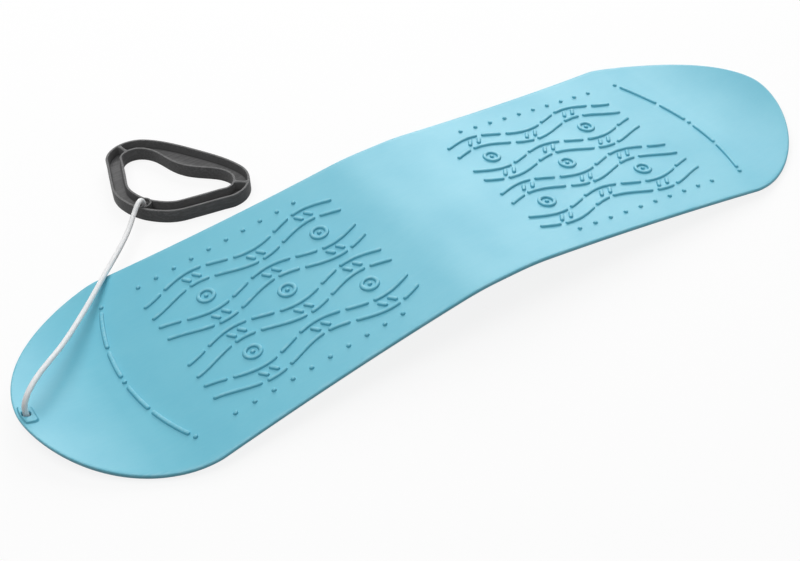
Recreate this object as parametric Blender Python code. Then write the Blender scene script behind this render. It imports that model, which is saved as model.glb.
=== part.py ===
"""A child's one-piece plastic snowboard with a tow rope and a moulded pull handle.

The board is one thick-walled moulding: a twin-tip deck, arched along its length and dished across
its width, with a grip relief of raised dashes and dots, a rope boss at the nose and three running
grooves in the sole. A braided rope comes up through the boss and ends in a stopper knot under the
nose. Its other end drops into the well of the pull handle, where a second knot sits in a pocket.

Frame: X runs along the board with the nose at -X, Y runs across it, Z is up. The origin is the
middle of the deck's flat centre. The board and the handle stand on the same ground.
"""
import math

import bpy
import numpy as np

MM = 0.001

# Clearances
SEAT_GAP = 0.3 * MM
ROPE_HOLE_PLAY = 1.0 * MM
KNOT_PLAY = 0.45 * MM

# Board, seen from above
BOARD_LENGTH = 720 * MM
WAIST_WIDTH = 201 * MM
SIDECUT = 11.6 * MM
TIP_CAP_LENGTH = 107 * MM
TIP_CAP_SHOULDER = 1.55
TIP_CAP_NOSE = 1.78

# Board, seen from the side
DECK_WALL = 3.4 * MM
CENTRE_FLAT_LENGTH = 20 * MM
CENTRE_FLAT_WIDTH = 20 * MM
ARCH_RADIUS = 240 * MM
ARCH_SLOPE = 0.125
UPTURN_START = 265 * MM
UPTURN_RADIUS = 187 * MM
CONTACT_STRIP_LENGTH = 10 * MM
DISH = 0.32
SOLE_FLAT_WIDTH = 90 * MM
SOLE_DISH = 0.80
EDGE_ROUND = 1.4 * MM
EDGE_BEND = 0.42 * MM
SOLE_CHAMFER = 1.0 * MM

# Rows and columns of points in the board's skins
LONG_ROWS = 18
RISING_ROWS = 4
TIP_ROUNDING = 28 * MM
TIP_ROWS = 7
TOP_COLUMNS = (-0.76, -0.52, -0.30, -0.10, 0.10, 0.30, 0.52, 0.76)
SOLE_SIDE_COLUMNS = (0.60, 0.80)

# Running grooves in the sole: places and widths as shares of the half width
GROOVE_PLACES = (-0.36, 0.0, 0.36)
GROOVE_HALF_WIDTH = 0.030
GROOVE_WALL = 0.015
GROOVE_DEPTH = 1.0 * MM
GROOVE_END = 250 * MM
GROOVE_RUNOUT = 25 * MM

# Grip relief
RIB_WIDTH = 4.0 * MM
RIB_HEIGHT = 1.8 * MM
RIB_DRAFT = 0.9 * MM
RIB_ROOT = 1.0 * MM
DOT_WIDTH = 4.4 * MM
DASH_GAP = 3.0 * MM
EDGE_DOT_START = 84.5 * MM
EDGE_DOT_PITCH = 16 * MM
EDGE_DOT_COUNT = 10
EDGE_DOT_Y = 82.2 * MM
ARC_CROWN_X = 279 * MM
ARC_END_X = 261 * MM
ARC_INNER_DASH = 0.43
WAVE_START = 60 * MM
WAVE_END = 247 * MM
WAVE_LENGTH = 104 * MM
WAVE_SWING = 6.5 * MM
WAVE_PAIRS = 4
WAVE_PAIR_PITCH = 38 * MM
WAVE_PAIR_SPREAD = 7.6 * MM
WAVE_LONG_DASH = 32 * MM
WAVE_SHORT_DASH = 14 * MM
RUNG_LENGTH = 5.5 * MM
RUNG_SLANT = math.radians(35)
RUNG_PITCH = 9 * MM
RING_DIAMETER = 16 * MM
RING_SIDES = 10

# Rope boss at the nose
BOSS_LENGTH = 11.5 * MM
BOSS_WIDTH = 20 * MM
BOSS_HEIGHT = 1.6 * MM
BOSS_EDGE = 1.6 * MM
BOSS_CORNER = 3.0 * MM
BOSS_BOW = 1.4 * MM
HOLE_FROM_TIP = 6.5 * MM

# Rope and knots
ROPE_DIAMETER = 5.0 * MM
ROPE_STEP = 2.0
NOSE_KNOT_DIAMETER = 11.0 * MM
NOSE_KNOT_HEIGHT = 8.6 * MM
NOSE_KNOT_SHOULDER = 4.0 * MM
HANDLE_KNOT_HEIGHT = 7.2 * MM
KNOT_LOBES = 3
KNOT_LOBE_DEPTH = 0.13
KNOT_TWIST = 2.2
KNOT_FULLNESS = 0.7
KNOT_SIDES = 24
KNOT_LEVELS = 9

# Pull handle
HANDLE_HEIGHT = 12.6 * MM
HANDLE_FLOOR = 3.6 * MM
HANDLE_WALL = 2.0 * MM
WALL_DRAFT = 0.5 * MM
RIM_CHAMFER = 0.5 * MM
ARM_BAND = 14.2 * MM
CORNER_BAND = 14.5 * MM
GRIP_BAND = 25.0 * MM
GRIP_BULGE_HALF_LENGTH = 50 * MM
WIDENING_START = 12 * MM
WIDENING_END = 45 * MM
HANDLE_RIB = 2.2 * MM
CORNER_SLANT = 0.35
WELL_DIAMETER = 10.4 * MM
WELL_WALL = 1.6 * MM
WELL_WEB = 1.5 * MM
POCKET_DEPTH = 8.0 * MM
HANDLE_STATIONS = 72

# The handle's outer edge, right half, from the apex by the well to the middle of the grip.
# Across the pull line and along it, from the middle of the well.
HANDLE_EDGE = (
    (0.0, -8.4),
    (20.0, -4.9),
    (33.0, 1.7),
    (46.0, 15.0),
    (59.6, 30.4),
    (67.6, 39.6),
    (70.6, 50.5),
    (67.6, 63.6),
    (57.5, 74.6),
    (38.0, 80.9),
)
HANDLE_BACK = 83.0 * MM

# Where the handle lies: the middle of its well, and the heading of its pull line
WELL_X = -178.5 * MM
WELL_Y = 178.4 * MM
HANDLE_HEADING = math.radians(30.8)

# The rope's way from the nose to the well, between its two plumb ends
ROPE_WAY = (
    (-353.1, 0.2, -12.9),
    (-351.6, 1.1, -9.1),
    (-348.7, 3.4, -6.2),
    (-345.0, 6.7, -4.7),
    (-339.8, 11.6, -4.2),
    (-332.4, 18.6, -4.9),
    (-322.6, 28.0, -7.4),
    (-304.9, 45.8, -12.9),
    (-275.6, 76.9, -18.6),
    (-247.2, 106.6, -20.4),
    (-222.0, 132.1, -21.4),
    (-205.6, 149.6, -20.9),
    (-194.3, 162.6, -18.2),
    (-188.5, 168.4, -16.1),
    (-184.9, 172.0, -15.6),
    (-181.8, 175.1, -16.9),
    (-179.4, 177.5, -20.4),
)


def half_width(x):
    """Half the board's width at a distance x from its middle: a sidecut closed by two caps."""
    x = np.abs(x)
    cap_start = BOARD_LENGTH / 2 - TIP_CAP_LENGTH
    side = WAIST_WIDTH / 2 + SIDECUT * (x / cap_start) ** 2
    share = np.clip((x - cap_start) / TIP_CAP_LENGTH, 0.0, 1.0)
    return side * (1.0 - share ** TIP_CAP_SHOULDER) ** (1.0 / TIP_CAP_NOSE)


def arch_joints():
    """Where the arch's arc meets its straight run, and where that meets the upturn's arc."""
    angle = math.atan(ARCH_SLOPE)
    x1 = CENTRE_FLAT_LENGTH / 2 + ARCH_RADIUS * math.sin(angle)
    z1 = -ARCH_RADIUS * (1.0 - math.cos(angle))
    z2 = z1 - ARCH_SLOPE * (UPTURN_START - x1)
    low_x = UPTURN_START + UPTURN_RADIUS * math.sin(angle)
    low_z = z2 - UPTURN_RADIUS * (1.0 - math.cos(angle))
    return x1, z1, low_x, low_z


def contact_height():
    """Height of the deck line's lowest stretch, which is flattened so that the sole has a footing."""
    _, _, _, low_z = arch_joints()
    reach = CONTACT_STRIP_LENGTH / 2 + SOLE_CHAMFER
    return low_z + UPTURN_RADIUS - math.sqrt(UPTURN_RADIUS ** 2 - reach ** 2)


def deck_line(x):
    """Height of the deck's middle line: flat, arc, straight fall, footing, then the upturned tip."""
    x = np.abs(np.asarray(x, dtype=float))
    x1, z1, low_x, low_z = arch_joints()
    from_flat = np.clip(x - CENTRE_FLAT_LENGTH / 2, 0.0, x1)
    arc = -ARCH_RADIUS + np.sqrt(ARCH_RADIUS ** 2 - from_flat ** 2)
    fall = z1 - ARCH_SLOPE * (x - x1)
    from_low = np.clip(x, UPTURN_START, None) - low_x
    upturn = low_z + UPTURN_RADIUS - np.sqrt(UPTURN_RADIUS ** 2 - from_low ** 2)
    line = np.where(x < x1, arc, np.where(x < UPTURN_START, fall, upturn))
    return np.maximum(line, contact_height())


def deck_top(x, y):
    """Height of the deck's upper skin, dished across outside its flat centre strip."""
    beside = np.clip(np.abs(y) - CENTRE_FLAT_WIDTH / 2, 0.0, None)
    return deck_line(x) + DISH * beside ** 2


def sole(x, y):
    """Height of the sole: flat across its middle, and rising with the deck towards the edges."""
    beside = np.clip(np.abs(y) - SOLE_FLAT_WIDTH / 2, 0.0, None)
    return deck_line(x) - DECK_WALL + SOLE_DISH * beside ** 2


GROUND = contact_height() - DECK_WALL
HOLE_X = -(BOARD_LENGTH / 2 - HOLE_FROM_TIP)
NOSE_KNOT_TOP = float(sole(HOLE_X + NOSE_KNOT_SHOULDER, 0.0)) - SEAT_GAP
WEB_BOTTOM = GROUND + POCKET_DEPTH


def make_material(name, color, roughness):
    """A plain moulded or braided plastic."""
    material = bpy.data.materials.new(name)
    material.use_nodes = True
    shader = material.node_tree.nodes["Principled BSDF"]
    shader.inputs["Base Color"].default_value = (*color, 1.0)
    shader.inputs["Roughness"].default_value = roughness
    shader.inputs["Metallic"].default_value = 0.0
    material.diffuse_color = (*color, 1.0)
    return material


def make_object(name, vertices, faces, material=None, smooth_angle=None):
    """A mesh object from vertices and faces."""
    mesh = bpy.data.meshes.new(name)
    mesh.from_pydata([tuple(float(c) for c in v) for v in vertices], [], faces)
    mesh.update()
    obj = bpy.data.objects.new(name, mesh)
    bpy.context.scene.collection.objects.link(obj)
    if material:
        mesh.materials.append(material)
    if smooth_angle is not None:
        mesh.shade_smooth()
        mesh.set_sharp_from_angle(angle=math.radians(smooth_angle))
    return obj


def make_cutter(name, vertices, faces):
    """A solid that only shapes another one."""
    cutter = make_object(name, vertices, faces)
    cutter.hide_render = True
    cutter.display_type = "WIRE"
    return cutter


def boolean(obj, tool, operation):
    """Join a tool to an object, or cut it out."""
    modifier = obj.modifiers.new(tool.name, "BOOLEAN")
    modifier.operation = operation
    modifier.solver = "EXACT"
    modifier.object = tool


def ring_faces(lower, upper, count):
    """Quads between two closed rings of equal count; the rings run anticlockwise from above."""
    faces = []
    for i in range(count):
        j = (i + 1) % count
        faces.append((lower + i, lower + j, upper + j, upper + i))
    return faces


def prism(outline, low, high, top_outline=None):
    """Vertices and faces of a solid between an outline and a like one above it."""
    count = len(outline)
    top_outline = outline if top_outline is None else top_outline
    vertices = [(x, y, z) for (x, y), z in zip(outline, low)]
    vertices += [(x, y, z) for (x, y), z in zip(top_outline, high)]
    faces = ring_faces(0, count, count)
    faces.append(tuple(range(count - 1, -1, -1)))
    faces.append(tuple(range(count, 2 * count)))
    return vertices, faces


def circle(x, y, diameter, sides):
    """A closed round outline, anticlockwise."""
    angles = np.arange(sides) * 2.0 * math.pi / sides
    return np.stack([x + diameter / 2 * np.cos(angles), y + diameter / 2 * np.sin(angles)], axis=1)


def smooth_closed(points, count):
    """Points at an even spacing on a closed centripetal Catmull-Rom curve."""
    points = np.asarray(points, dtype=float)
    before = np.roll(points, 1, axis=0)
    after = np.roll(points, -1, axis=0)
    second = np.roll(points, -2, axis=0)
    share = np.linspace(0.0, 1.0, 40, endpoint=False)[:, None]
    dense = []
    for a, b, c, d in zip(before, points, after, second):
        dense.append(catmull_rom(a, b, c, d, share))
    dense = np.concatenate(dense)
    return even_points(np.vstack([dense, dense[:1]]), count + 1)[:-1]


def catmull_rom(a, b, c, d, share):
    """The centripetal curve between b and c at shares from 0 to 1."""
    t0 = 0.0
    t1 = t0 + math.sqrt(np.linalg.norm(b - a))
    t2 = t1 + math.sqrt(np.linalg.norm(c - b))
    t3 = t2 + math.sqrt(np.linalg.norm(d - c))
    t = t1 + (t2 - t1) * share
    a1 = (t1 - t) / (t1 - t0) * a + (t - t0) / (t1 - t0) * b
    a2 = (t2 - t) / (t2 - t1) * b + (t - t1) / (t2 - t1) * c
    a3 = (t3 - t) / (t3 - t2) * c + (t - t2) / (t3 - t2) * d
    b1 = (t2 - t) / (t2 - t0) * a1 + (t - t0) / (t2 - t0) * a2
    b2 = (t3 - t) / (t3 - t1) * a2 + (t - t1) / (t3 - t1) * a3
    return (t2 - t) / (t2 - t1) * b1 + (t - t1) / (t2 - t1) * b2


def even_points(line, count):
    """Points at an even spacing along a dense line."""
    steps = np.linalg.norm(np.diff(line, axis=0), axis=1)
    run = np.concatenate([[0.0], np.cumsum(steps)])
    places = np.linspace(0.0, run[-1], count)
    return np.stack([np.interp(places, run, column) for column in line.T], axis=1)


def inward_normals(loop):
    """Unit normals that point into an anticlockwise loop."""
    along = np.roll(loop, -1, axis=0) - np.roll(loop, 1, axis=0)
    normals = np.stack([-along[:, 1], along[:, 0]], axis=1)
    return normals / np.linalg.norm(normals, axis=1)[:, None]


def board_stations():
    """Distances from the middle to the tip at which the board's rows of points lie."""
    _, _, low_x, _ = arch_joints()
    tip = BOARD_LENGTH / 2
    strip = CONTACT_STRIP_LENGTH / 2
    flat = CENTRE_FLAT_LENGTH / 2
    middle = np.linspace(flat, low_x - strip, LONG_ROWS)
    rising = np.linspace(low_x + strip, tip - TIP_ROUNDING, RISING_ROWS)
    turn = np.linspace(0.0, math.pi / 2, TIP_ROWS + 1)[1:]
    rounding = rising[-1] + (tip - rising[-1]) * np.sin(turn)
    return np.concatenate([middle, rising, rounding])


def groove_depth(x):
    """Depth of the running grooves, which run out before the contact strips."""
    share = np.clip((GROOVE_END - np.abs(x)) / GROOVE_RUNOUT, 0.0, 1.0)
    return GROOVE_DEPTH * share * share * (3.0 - 2.0 * share)


def sole_columns():
    """Shares of the half width at which the sole's points lie, with each column's groove share."""
    columns = [(-share, 0.0) for share in reversed(SOLE_SIDE_COLUMNS)]
    for place in GROOVE_PLACES:
        outer = GROOVE_HALF_WIDTH + GROOVE_WALL
        columns += [(place - outer, 0.0), (place - GROOVE_HALF_WIDTH, 1.0)]
        columns += [(place + GROOVE_HALF_WIDTH, 1.0), (place + outer, 0.0)]
    return columns + [(share, 0.0) for share in SOLE_SIDE_COLUMNS]


def deck_shell():
    """The bare board: a top and a sole of rows and columns, joined by a rounded side wall."""
    stations = board_stations()
    rows = np.concatenate([-stations[::-1], stations])
    sides = half_width(rows)
    sides[[0, -1]] = 0.0
    lower_side = np.stack([rows, -sides], axis=1)
    upper_side = np.stack([rows[::-1], sides[::-1]], axis=1)
    loop = np.vstack([lower_side, upper_side[1:-1]])
    inward = inward_normals(loop)
    count = len(loop)

    def ring(inset, height):
        points = loop + inward * inset
        return np.column_stack([points, height(points[:, 0], points[:, 1])])

    rings = [
        ring(SOLE_CHAMFER, sole),
        ring(0.0, lambda x, y: sole(x, y) + SOLE_CHAMFER),
        ring(0.0, lambda x, y: deck_top(x, y) - EDGE_ROUND),
        ring(EDGE_BEND, lambda x, y: deck_top(x, y) - EDGE_BEND),
        ring(EDGE_ROUND, deck_top),
    ]
    vertices = [tuple(point) for points in rings for point in points]
    faces = []
    for level in range(len(rings) - 1):
        faces += ring_faces(level * count, (level + 1) * count, count)

    last = len(rows) - 1

    def skin(ring_start, columns, height, up):
        """Rows and columns that close one ring; its first and last rows are single points."""
        grid = []
        for i in range(len(rows)):
            near = ring_start + i
            far = ring_start + (count - i) % count
            if i in (0, last):
                grid.append([near] * (len(columns) + 2))
                continue
            x, y = vertices[near][0], vertices[far][1]
            line = [near]
            for column in columns:
                line.append(len(vertices))
                vertices.append((x, column[0] * y, height(x, column, y)))
            grid.append(line + [far])
        for a, b in zip(grid[:-1], grid[1:]):
            for k in range(len(a) - 1):
                corners = [a[k], b[k], b[k + 1], a[k + 1]]
                face = [c for n, c in enumerate(corners) if c != corners[n - 1]]
                faces.append(tuple(face if up else face[::-1]))

    top_columns = [(share, 0.0) for share in TOP_COLUMNS]
    skin((len(rings) - 1) * count, top_columns, lambda x, c, y: float(deck_top(x, c[0] * y)), True)
    skin(0, sole_columns(), lambda x, c, y: float(sole(x, c[0] * y) + c[1] * groove_depth(x)), False)
    return vertices, faces


def pad_on_deck(outline, top_outline, height):
    """A raised pad whose foot sinks into the deck and whose top follows it."""
    low = deck_top(outline[:, 0], outline[:, 1]) - RIB_ROOT
    high = deck_top(top_outline[:, 0], top_outline[:, 1]) + height
    return prism(outline, low, high, top_outline)


def dash_outline(line, width):
    """A round-ended outline about a line of points, anticlockwise."""
    line = np.asarray(line, dtype=float)
    along = np.gradient(line, axis=0)
    along /= np.linalg.norm(along, axis=1)[:, None]
    left = np.stack([-along[:, 1], along[:, 0]], axis=1)
    reach = width / 2
    right_side = line - left * reach
    left_side = (line + left * reach)[::-1]
    slant = reach * math.sqrt(0.5)
    head = line[-1] + along[-1] * slant
    tail = line[0] - along[0] * slant
    head_corners = [head - left[-1] * slant, head + left[-1] * slant]
    tail_corners = [tail + left[0] * slant, tail - left[0] * slant]
    return np.vstack([right_side, head_corners, left_side, tail_corners])


def dash(line):
    """One raised dash of the relief."""
    foot = dash_outline(line, RIB_WIDTH)
    crown = dash_outline(line, RIB_WIDTH - 2 * RIB_DRAFT)
    return pad_on_deck(foot, crown, RIB_HEIGHT)


def dot(x, y):
    """One raised dot of the relief."""
    foot = circle(x, y, DOT_WIDTH, 8)
    crown = circle(x, y, DOT_WIDTH - 2 * RIB_DRAFT, 8)
    return pad_on_deck(foot, crown, RIB_HEIGHT)


def wave_line(x, pair, lane):
    """Across place of one lane of a wavy pair at a distance x from the board's middle."""
    middle = (pair - (WAVE_PAIRS - 1) / 2) * WAVE_PAIR_PITCH
    swing = WAVE_SWING * (1 if pair % 2 else -1)
    phase = 2.0 * math.pi * (x - WAVE_START) / WAVE_LENGTH
    return middle + swing * np.sin(phase) + lane * WAVE_PAIR_SPREAD


def wave_dashes(end):
    """Wavy pairs of dashes over one foot zone, long and short in turn; end is -1 or 1."""
    pads = []
    for pair in range(WAVE_PAIRS):
        for lane in (-1, 1):
            x = WAVE_START
            long_next = lane > 0
            while True:
                length = WAVE_LONG_DASH if long_next else WAVE_SHORT_DASH
                if x + length > WAVE_END:
                    break
                reach = np.linspace(x, x + length, 3 if long_next else 2)
                line = np.stack([end * reach, wave_line(reach, pair, lane)], axis=1)
                pads.append(dash(line))
                x += length + RIB_WIDTH + DASH_GAP
                long_next = not long_next
    return pads


def wave_rungs(end):
    """Slanted rungs between the lanes of each wavy pair, two at every crest and trough."""
    pads = []
    reach = RUNG_LENGTH / 2 * np.array([-1.0, 1.0])
    for pair in range(WAVE_PAIRS):
        for crest in np.arange(WAVE_START + WAVE_LENGTH / 4, WAVE_END - RUNG_PITCH, WAVE_LENGTH / 2):
            for x in (crest - RUNG_PITCH / 2, crest + RUNG_PITCH / 2):
                middle = wave_line(x, pair, 0)
                across = middle + reach * math.cos(RUNG_SLANT)
                pads.append(dash(np.stack([end * (x + reach * math.sin(RUNG_SLANT)), across], axis=1)))
    return pads


def ring_mark(x, y):
    """A raised ring of the relief about a dot."""
    inner = RING_DIAMETER - 2 * RIB_WIDTH
    section = (
        (RING_DIAMETER, -RIB_ROOT),
        (RING_DIAMETER - 2 * RIB_DRAFT, RIB_HEIGHT),
        (inner + 2 * RIB_DRAFT, RIB_HEIGHT),
        (inner, -RIB_ROOT),
    )
    vertices = []
    faces = []
    for i, (diameter, height) in enumerate(section):
        plan = circle(x, y, diameter, RING_SIDES)
        top = deck_top(plan[:, 0], plan[:, 1]) + height
        vertices += [(px, py, z) for (px, py), z in zip(plan, top)]
        faces += ring_faces(i * RING_SIDES, (i + 1) % len(section) * RING_SIDES, RING_SIDES)
    return vertices, faces


def ring_marks(end):
    """Rings in the wide places between neighbouring wavy pairs."""
    pads = []
    for pair in range(WAVE_PAIRS - 1):
        first = WAVE_START + WAVE_LENGTH * (0.75 if pair % 2 else 0.25)
        for x in np.arange(first, WAVE_END - RING_DIAMETER, WAVE_LENGTH):
            y = (wave_line(x, pair, 0) + wave_line(x, pair + 1, 0)) / 2
            pads += [ring_mark(end * x, y), dot(end * x, y)]
    return pads


def arc_marks(end):
    """The dashed arc that closes a foot zone: a dot at each end and at the crown, dashes between."""
    rise = ARC_CROWN_X - ARC_END_X
    radius = (EDGE_DOT_Y ** 2 + rise ** 2) / (2 * rise)
    centre = ARC_CROWN_X - radius
    end_angle = math.asin(EDGE_DOT_Y / radius)

    def place(angle):
        return end * (centre + radius * np.cos(angle)), radius * np.sin(angle)

    pads = [dot(*place(angle)) for angle in (-end_angle, 0.0, end_angle)]
    gap = (RIB_WIDTH + DASH_GAP) / radius
    inner = ARC_INNER_DASH * (end_angle - 3 * gap)
    spans = ((gap, gap + inner), (2 * gap + inner, end_angle - gap))
    for side in (-1, 1):
        for start, stop in spans:
            angles = side * np.linspace(start, stop, 4)
            pads.append(dash(np.stack(place(angles), axis=1)))
    return pads


def edge_dots(end):
    """The rows of dots along both edges of a foot zone."""
    pads = []
    for side in (-1, 1):
        for i in range(EDGE_DOT_COUNT):
            pads.append(dot(end * (EDGE_DOT_START + i * EDGE_DOT_PITCH), side * EDGE_DOT_Y))
    return pads


def rope_boss():
    """The raised pad round the rope hole, from the nose's edge inwards."""

    def outline(inset):
        start = -BOARD_LENGTH / 2 + BOSS_EDGE + inset
        end = -BOARD_LENGTH / 2 + BOSS_EDGE + BOSS_LENGTH - inset
        side = BOSS_WIDTH / 2 - inset
        turn = np.linspace(-math.pi / 2, 0.0, 4)
        corner = BOSS_CORNER - inset
        far_x = end - corner + corner * np.cos(turn)
        far_y = -side + corner + corner * np.sin(turn)
        far = np.stack([far_x, far_y], axis=1)
        near_y = np.linspace(-side, side, 5)
        near = np.stack([start + BOSS_BOW * (near_y / side) ** 2, near_y], axis=1)
        return np.vstack([far, far[::-1] * (1, -1), near[::-1]])

    return pad_on_deck(outline(0.0), outline(RIB_DRAFT), BOSS_HEIGHT)


def join_parts(parts):
    """Vertices and faces of several solids in one mesh."""
    vertices = []
    faces = []
    for part_vertices, part_faces in parts:
        shift = len(vertices)
        vertices += part_vertices
        faces += [tuple(i + shift for i in face) for face in part_faces]
    return vertices, faces


def build_deck():
    """The board's moulding, with its relief, rope boss, rope hole and running grooves."""
    plastic = make_material("light_blue_plastic", (0.22, 0.62, 0.74), 0.42)
    deck = make_object("deck", *deck_shell(), plastic)
    pads = [rope_boss()]
    for end in (-1, 1):
        pads += wave_dashes(end) + wave_rungs(end) + ring_marks(end) + arc_marks(end) + edge_dots(end)
    relief = make_cutter("relief_guide", *join_parts(pads))
    boolean(deck, relief, "UNION")
    hole = circle(HOLE_X, 0.0, ROPE_DIAMETER + 2 * ROPE_HOLE_PLAY, 20)
    below = [GROUND - DECK_WALL] * len(hole)
    above = [BOSS_WIDTH] * len(hole)
    boolean(deck, make_cutter("rope_hole_cutter", *prism(hole, below, above)), "DIFFERENCE")
    return deck


def handle_place(points):
    """Turn and move points from the handle's own plan into the model's frame."""
    points = np.asarray(points, dtype=float)
    across = (math.sin(HANDLE_HEADING), -math.cos(HANDLE_HEADING))
    along = (math.cos(HANDLE_HEADING), math.sin(HANDLE_HEADING))
    x = WELL_X + points[:, 0] * across[0] + points[:, 1] * along[0]
    y = WELL_Y + points[:, 0] * across[1] + points[:, 1] * along[1]
    return np.stack([x, y], axis=1)


def handle_outer_edge():
    """The handle's outer edge as an anticlockwise loop that starts at the apex."""
    right = [(x * MM, y * MM) for x, y in HANDLE_EDGE]
    left = [(-x, y) for x, y in right[:0:-1]]
    return smooth_closed(right + [(0.0, HANDLE_BACK)] + left, HANDLE_STATIONS)


def band_width(edge):
    """Width of the ring at each point of the outer edge: arms, corners, and a bulged grip."""
    x, y = np.abs(edge[:, 0]), edge[:, 1]
    shoulder = np.clip((y - WIDENING_START) / (WIDENING_END - WIDENING_START), 0.0, 1.0)
    ring = ARM_BAND + (CORNER_BAND - ARM_BAND) * shoulder
    bulge = np.cos(0.5 * math.pi * np.clip(x / GRIP_BULGE_HALF_LENGTH, 0.0, 1.0)) ** 2
    return np.where(y > HANDLE_BACK / 2, ring + (GRIP_BAND - CORNER_BAND) * bulge, ring)


def handle_ring():
    """The trough-shaped ring, lofted round the outer edge: two thin walls on a floor."""
    edge = handle_outer_edge()
    inward = inward_normals(edge)
    band = band_width(edge)
    top = GROUND + HANDLE_HEIGHT
    floor = GROUND + HANDLE_FLOOR
    wall = HANDLE_WALL
    foot = HANDLE_WALL + WALL_DRAFT
    chamfer = RIM_CHAMFER
    section = [
        (0.0, chamfer, GROUND),
        (0.0, 0.0, GROUND + chamfer),
        (0.0, 0.0, top - chamfer),
        (0.0, chamfer, top),
        (0.0, wall, top),
        (0.0, foot, floor),
        (1.0, -foot, floor),
        (1.0, -wall, top),
        (1.0, -chamfer, top),
        (1.0, 0.0, top - chamfer),
        (1.0, 0.0, GROUND + chamfer),
        (1.0, -chamfer, GROUND),
    ]
    vertices = []
    for share, shift, z in section:
        plan = handle_place(edge + inward * (band * share + shift)[:, None])
        vertices += [(x, y, z) for x, y in plan]
    faces = []
    count = len(edge)
    for i in range(len(section)):
        faces += ring_faces(i * count, ((i + 1) % len(section)) * count, count)
    return vertices, faces


def handle_cross_ribs():
    """The two ribs that cross the trough where the arms meet the grip."""
    edge = handle_outer_edge()
    inward = inward_normals(edge)
    band = band_width(edge)
    parts = []
    for side in (-1, 1):
        corner = np.argmax(side * edge[:, 0] + CORNER_SLANT * edge[:, 1])
        start = edge[corner] + inward[corner] * HANDLE_WALL * 0.5
        end = edge[corner] + inward[corner] * (band[corner] - HANDLE_WALL * 0.5)
        beside = np.array([-inward[corner][1], inward[corner][0]]) * HANDLE_RIB / 2
        outline = handle_place([start + beside, start - beside, end - beside, end + beside])
        low = [GROUND + HANDLE_FLOOR / 2] * 4
        high = [GROUND + HANDLE_HEIGHT - RIM_CHAMFER] * 4
        parts.append(prism(outline, low, high))
    return parts


def build_handle():
    """The pull handle: the ring, its cross ribs, and the well with its web and knot pocket."""
    plastic = make_material("dark_grey_plastic", (0.07, 0.07, 0.07), 0.5)
    handle = make_object("pull_handle", *handle_ring(), plastic, 35)
    top = GROUND + HANDLE_HEIGHT
    tube = circle(WELL_X, WELL_Y, WELL_DIAMETER + 2 * WELL_WALL, 28)
    sleeve = prism(tube, [GROUND + RIM_CHAMFER] * len(tube), [top - RIM_CHAMFER / 2] * len(tube))
    added = make_cutter("handle_ribs_guide", *join_parts(handle_cross_ribs()))
    boolean(handle, added, "UNION")
    boolean(handle, make_cutter("well_sleeve_guide", *sleeve), "UNION")
    bore = circle(WELL_X, WELL_Y, WELL_DIAMETER, 24)
    eye = circle(WELL_X, WELL_Y, ROPE_DIAMETER + 2 * ROPE_HOLE_PLAY, 20)
    past = HANDLE_HEIGHT
    cuts = (
        ("well_cutter", bore, WEB_BOTTOM + WELL_WEB, top + past),
        ("pocket_cutter", bore, GROUND - past, WEB_BOTTOM),
        ("eye_cutter", eye, WEB_BOTTOM - WELL_WEB, WEB_BOTTOM + 2 * WELL_WEB),
    )
    for name, outline, low, high in cuts:
        cutter = make_cutter(name, *prism(outline, [low] * len(outline), [high] * len(outline)))
        boolean(handle, cutter, "DIFFERENCE")
    return handle


def rope_route():
    """The rope's own points, from the face on the nose knot to the face on the handle knot."""
    boss_top = float(deck_line(HOLE_X)) + BOSS_HEIGHT
    nose = [(HOLE_X, 0.0, NOSE_KNOT_TOP + SEAT_GAP), (HOLE_X, 0.0, boss_top)]
    way = [(x * MM, y * MM, z * MM) for x, y, z in ROPE_WAY]
    well = [(WELL_X, WELL_Y, WEB_BOTTOM + WELL_WEB), (WELL_X, WELL_Y, WEB_BOTTOM)]
    return np.array(nose + way + well)


def rope_points():
    """Points of a smooth curve through the rope's route, a set number of diameters apart.

    The plumb ends keep their own points, so that the rope meets its knots squarely.
    """
    route = rope_route()
    share = np.linspace(0.0, 1.0, 30, endpoint=False)[:, None]
    dense = [catmull_rom(*route[i:i + 4], share) for i in range(len(route) - 3)]
    dense = np.vstack(dense + [route[-2:-1]])
    length = np.linalg.norm(np.diff(dense, axis=0), axis=1).sum()
    between = even_points(dense, int(round(length / (ROPE_STEP * ROPE_DIAMETER))) + 1)
    return np.vstack([route[:1], between, route[-1:]])


def build_rope():
    """The braided tow rope, as a round tube along its route."""
    fibre = make_material("white_rope", (0.85, 0.86, 0.88), 0.8)
    points = rope_points()
    curve = bpy.data.curves.new("rope", "CURVE")
    curve.dimensions = "3D"
    curve.bevel_depth = ROPE_DIAMETER / 2
    curve.bevel_resolution = 3
    curve.use_fill_caps = True
    spline = curve.splines.new("POLY")
    spline.points.add(len(points) - 1)
    for point, place in zip(spline.points, points):
        point.co = (*place, 1.0)
    curve.materials.append(fibre)
    rope = bpy.data.objects.new("rope", curve)
    bpy.context.scene.collection.objects.link(rope)
    return rope


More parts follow.
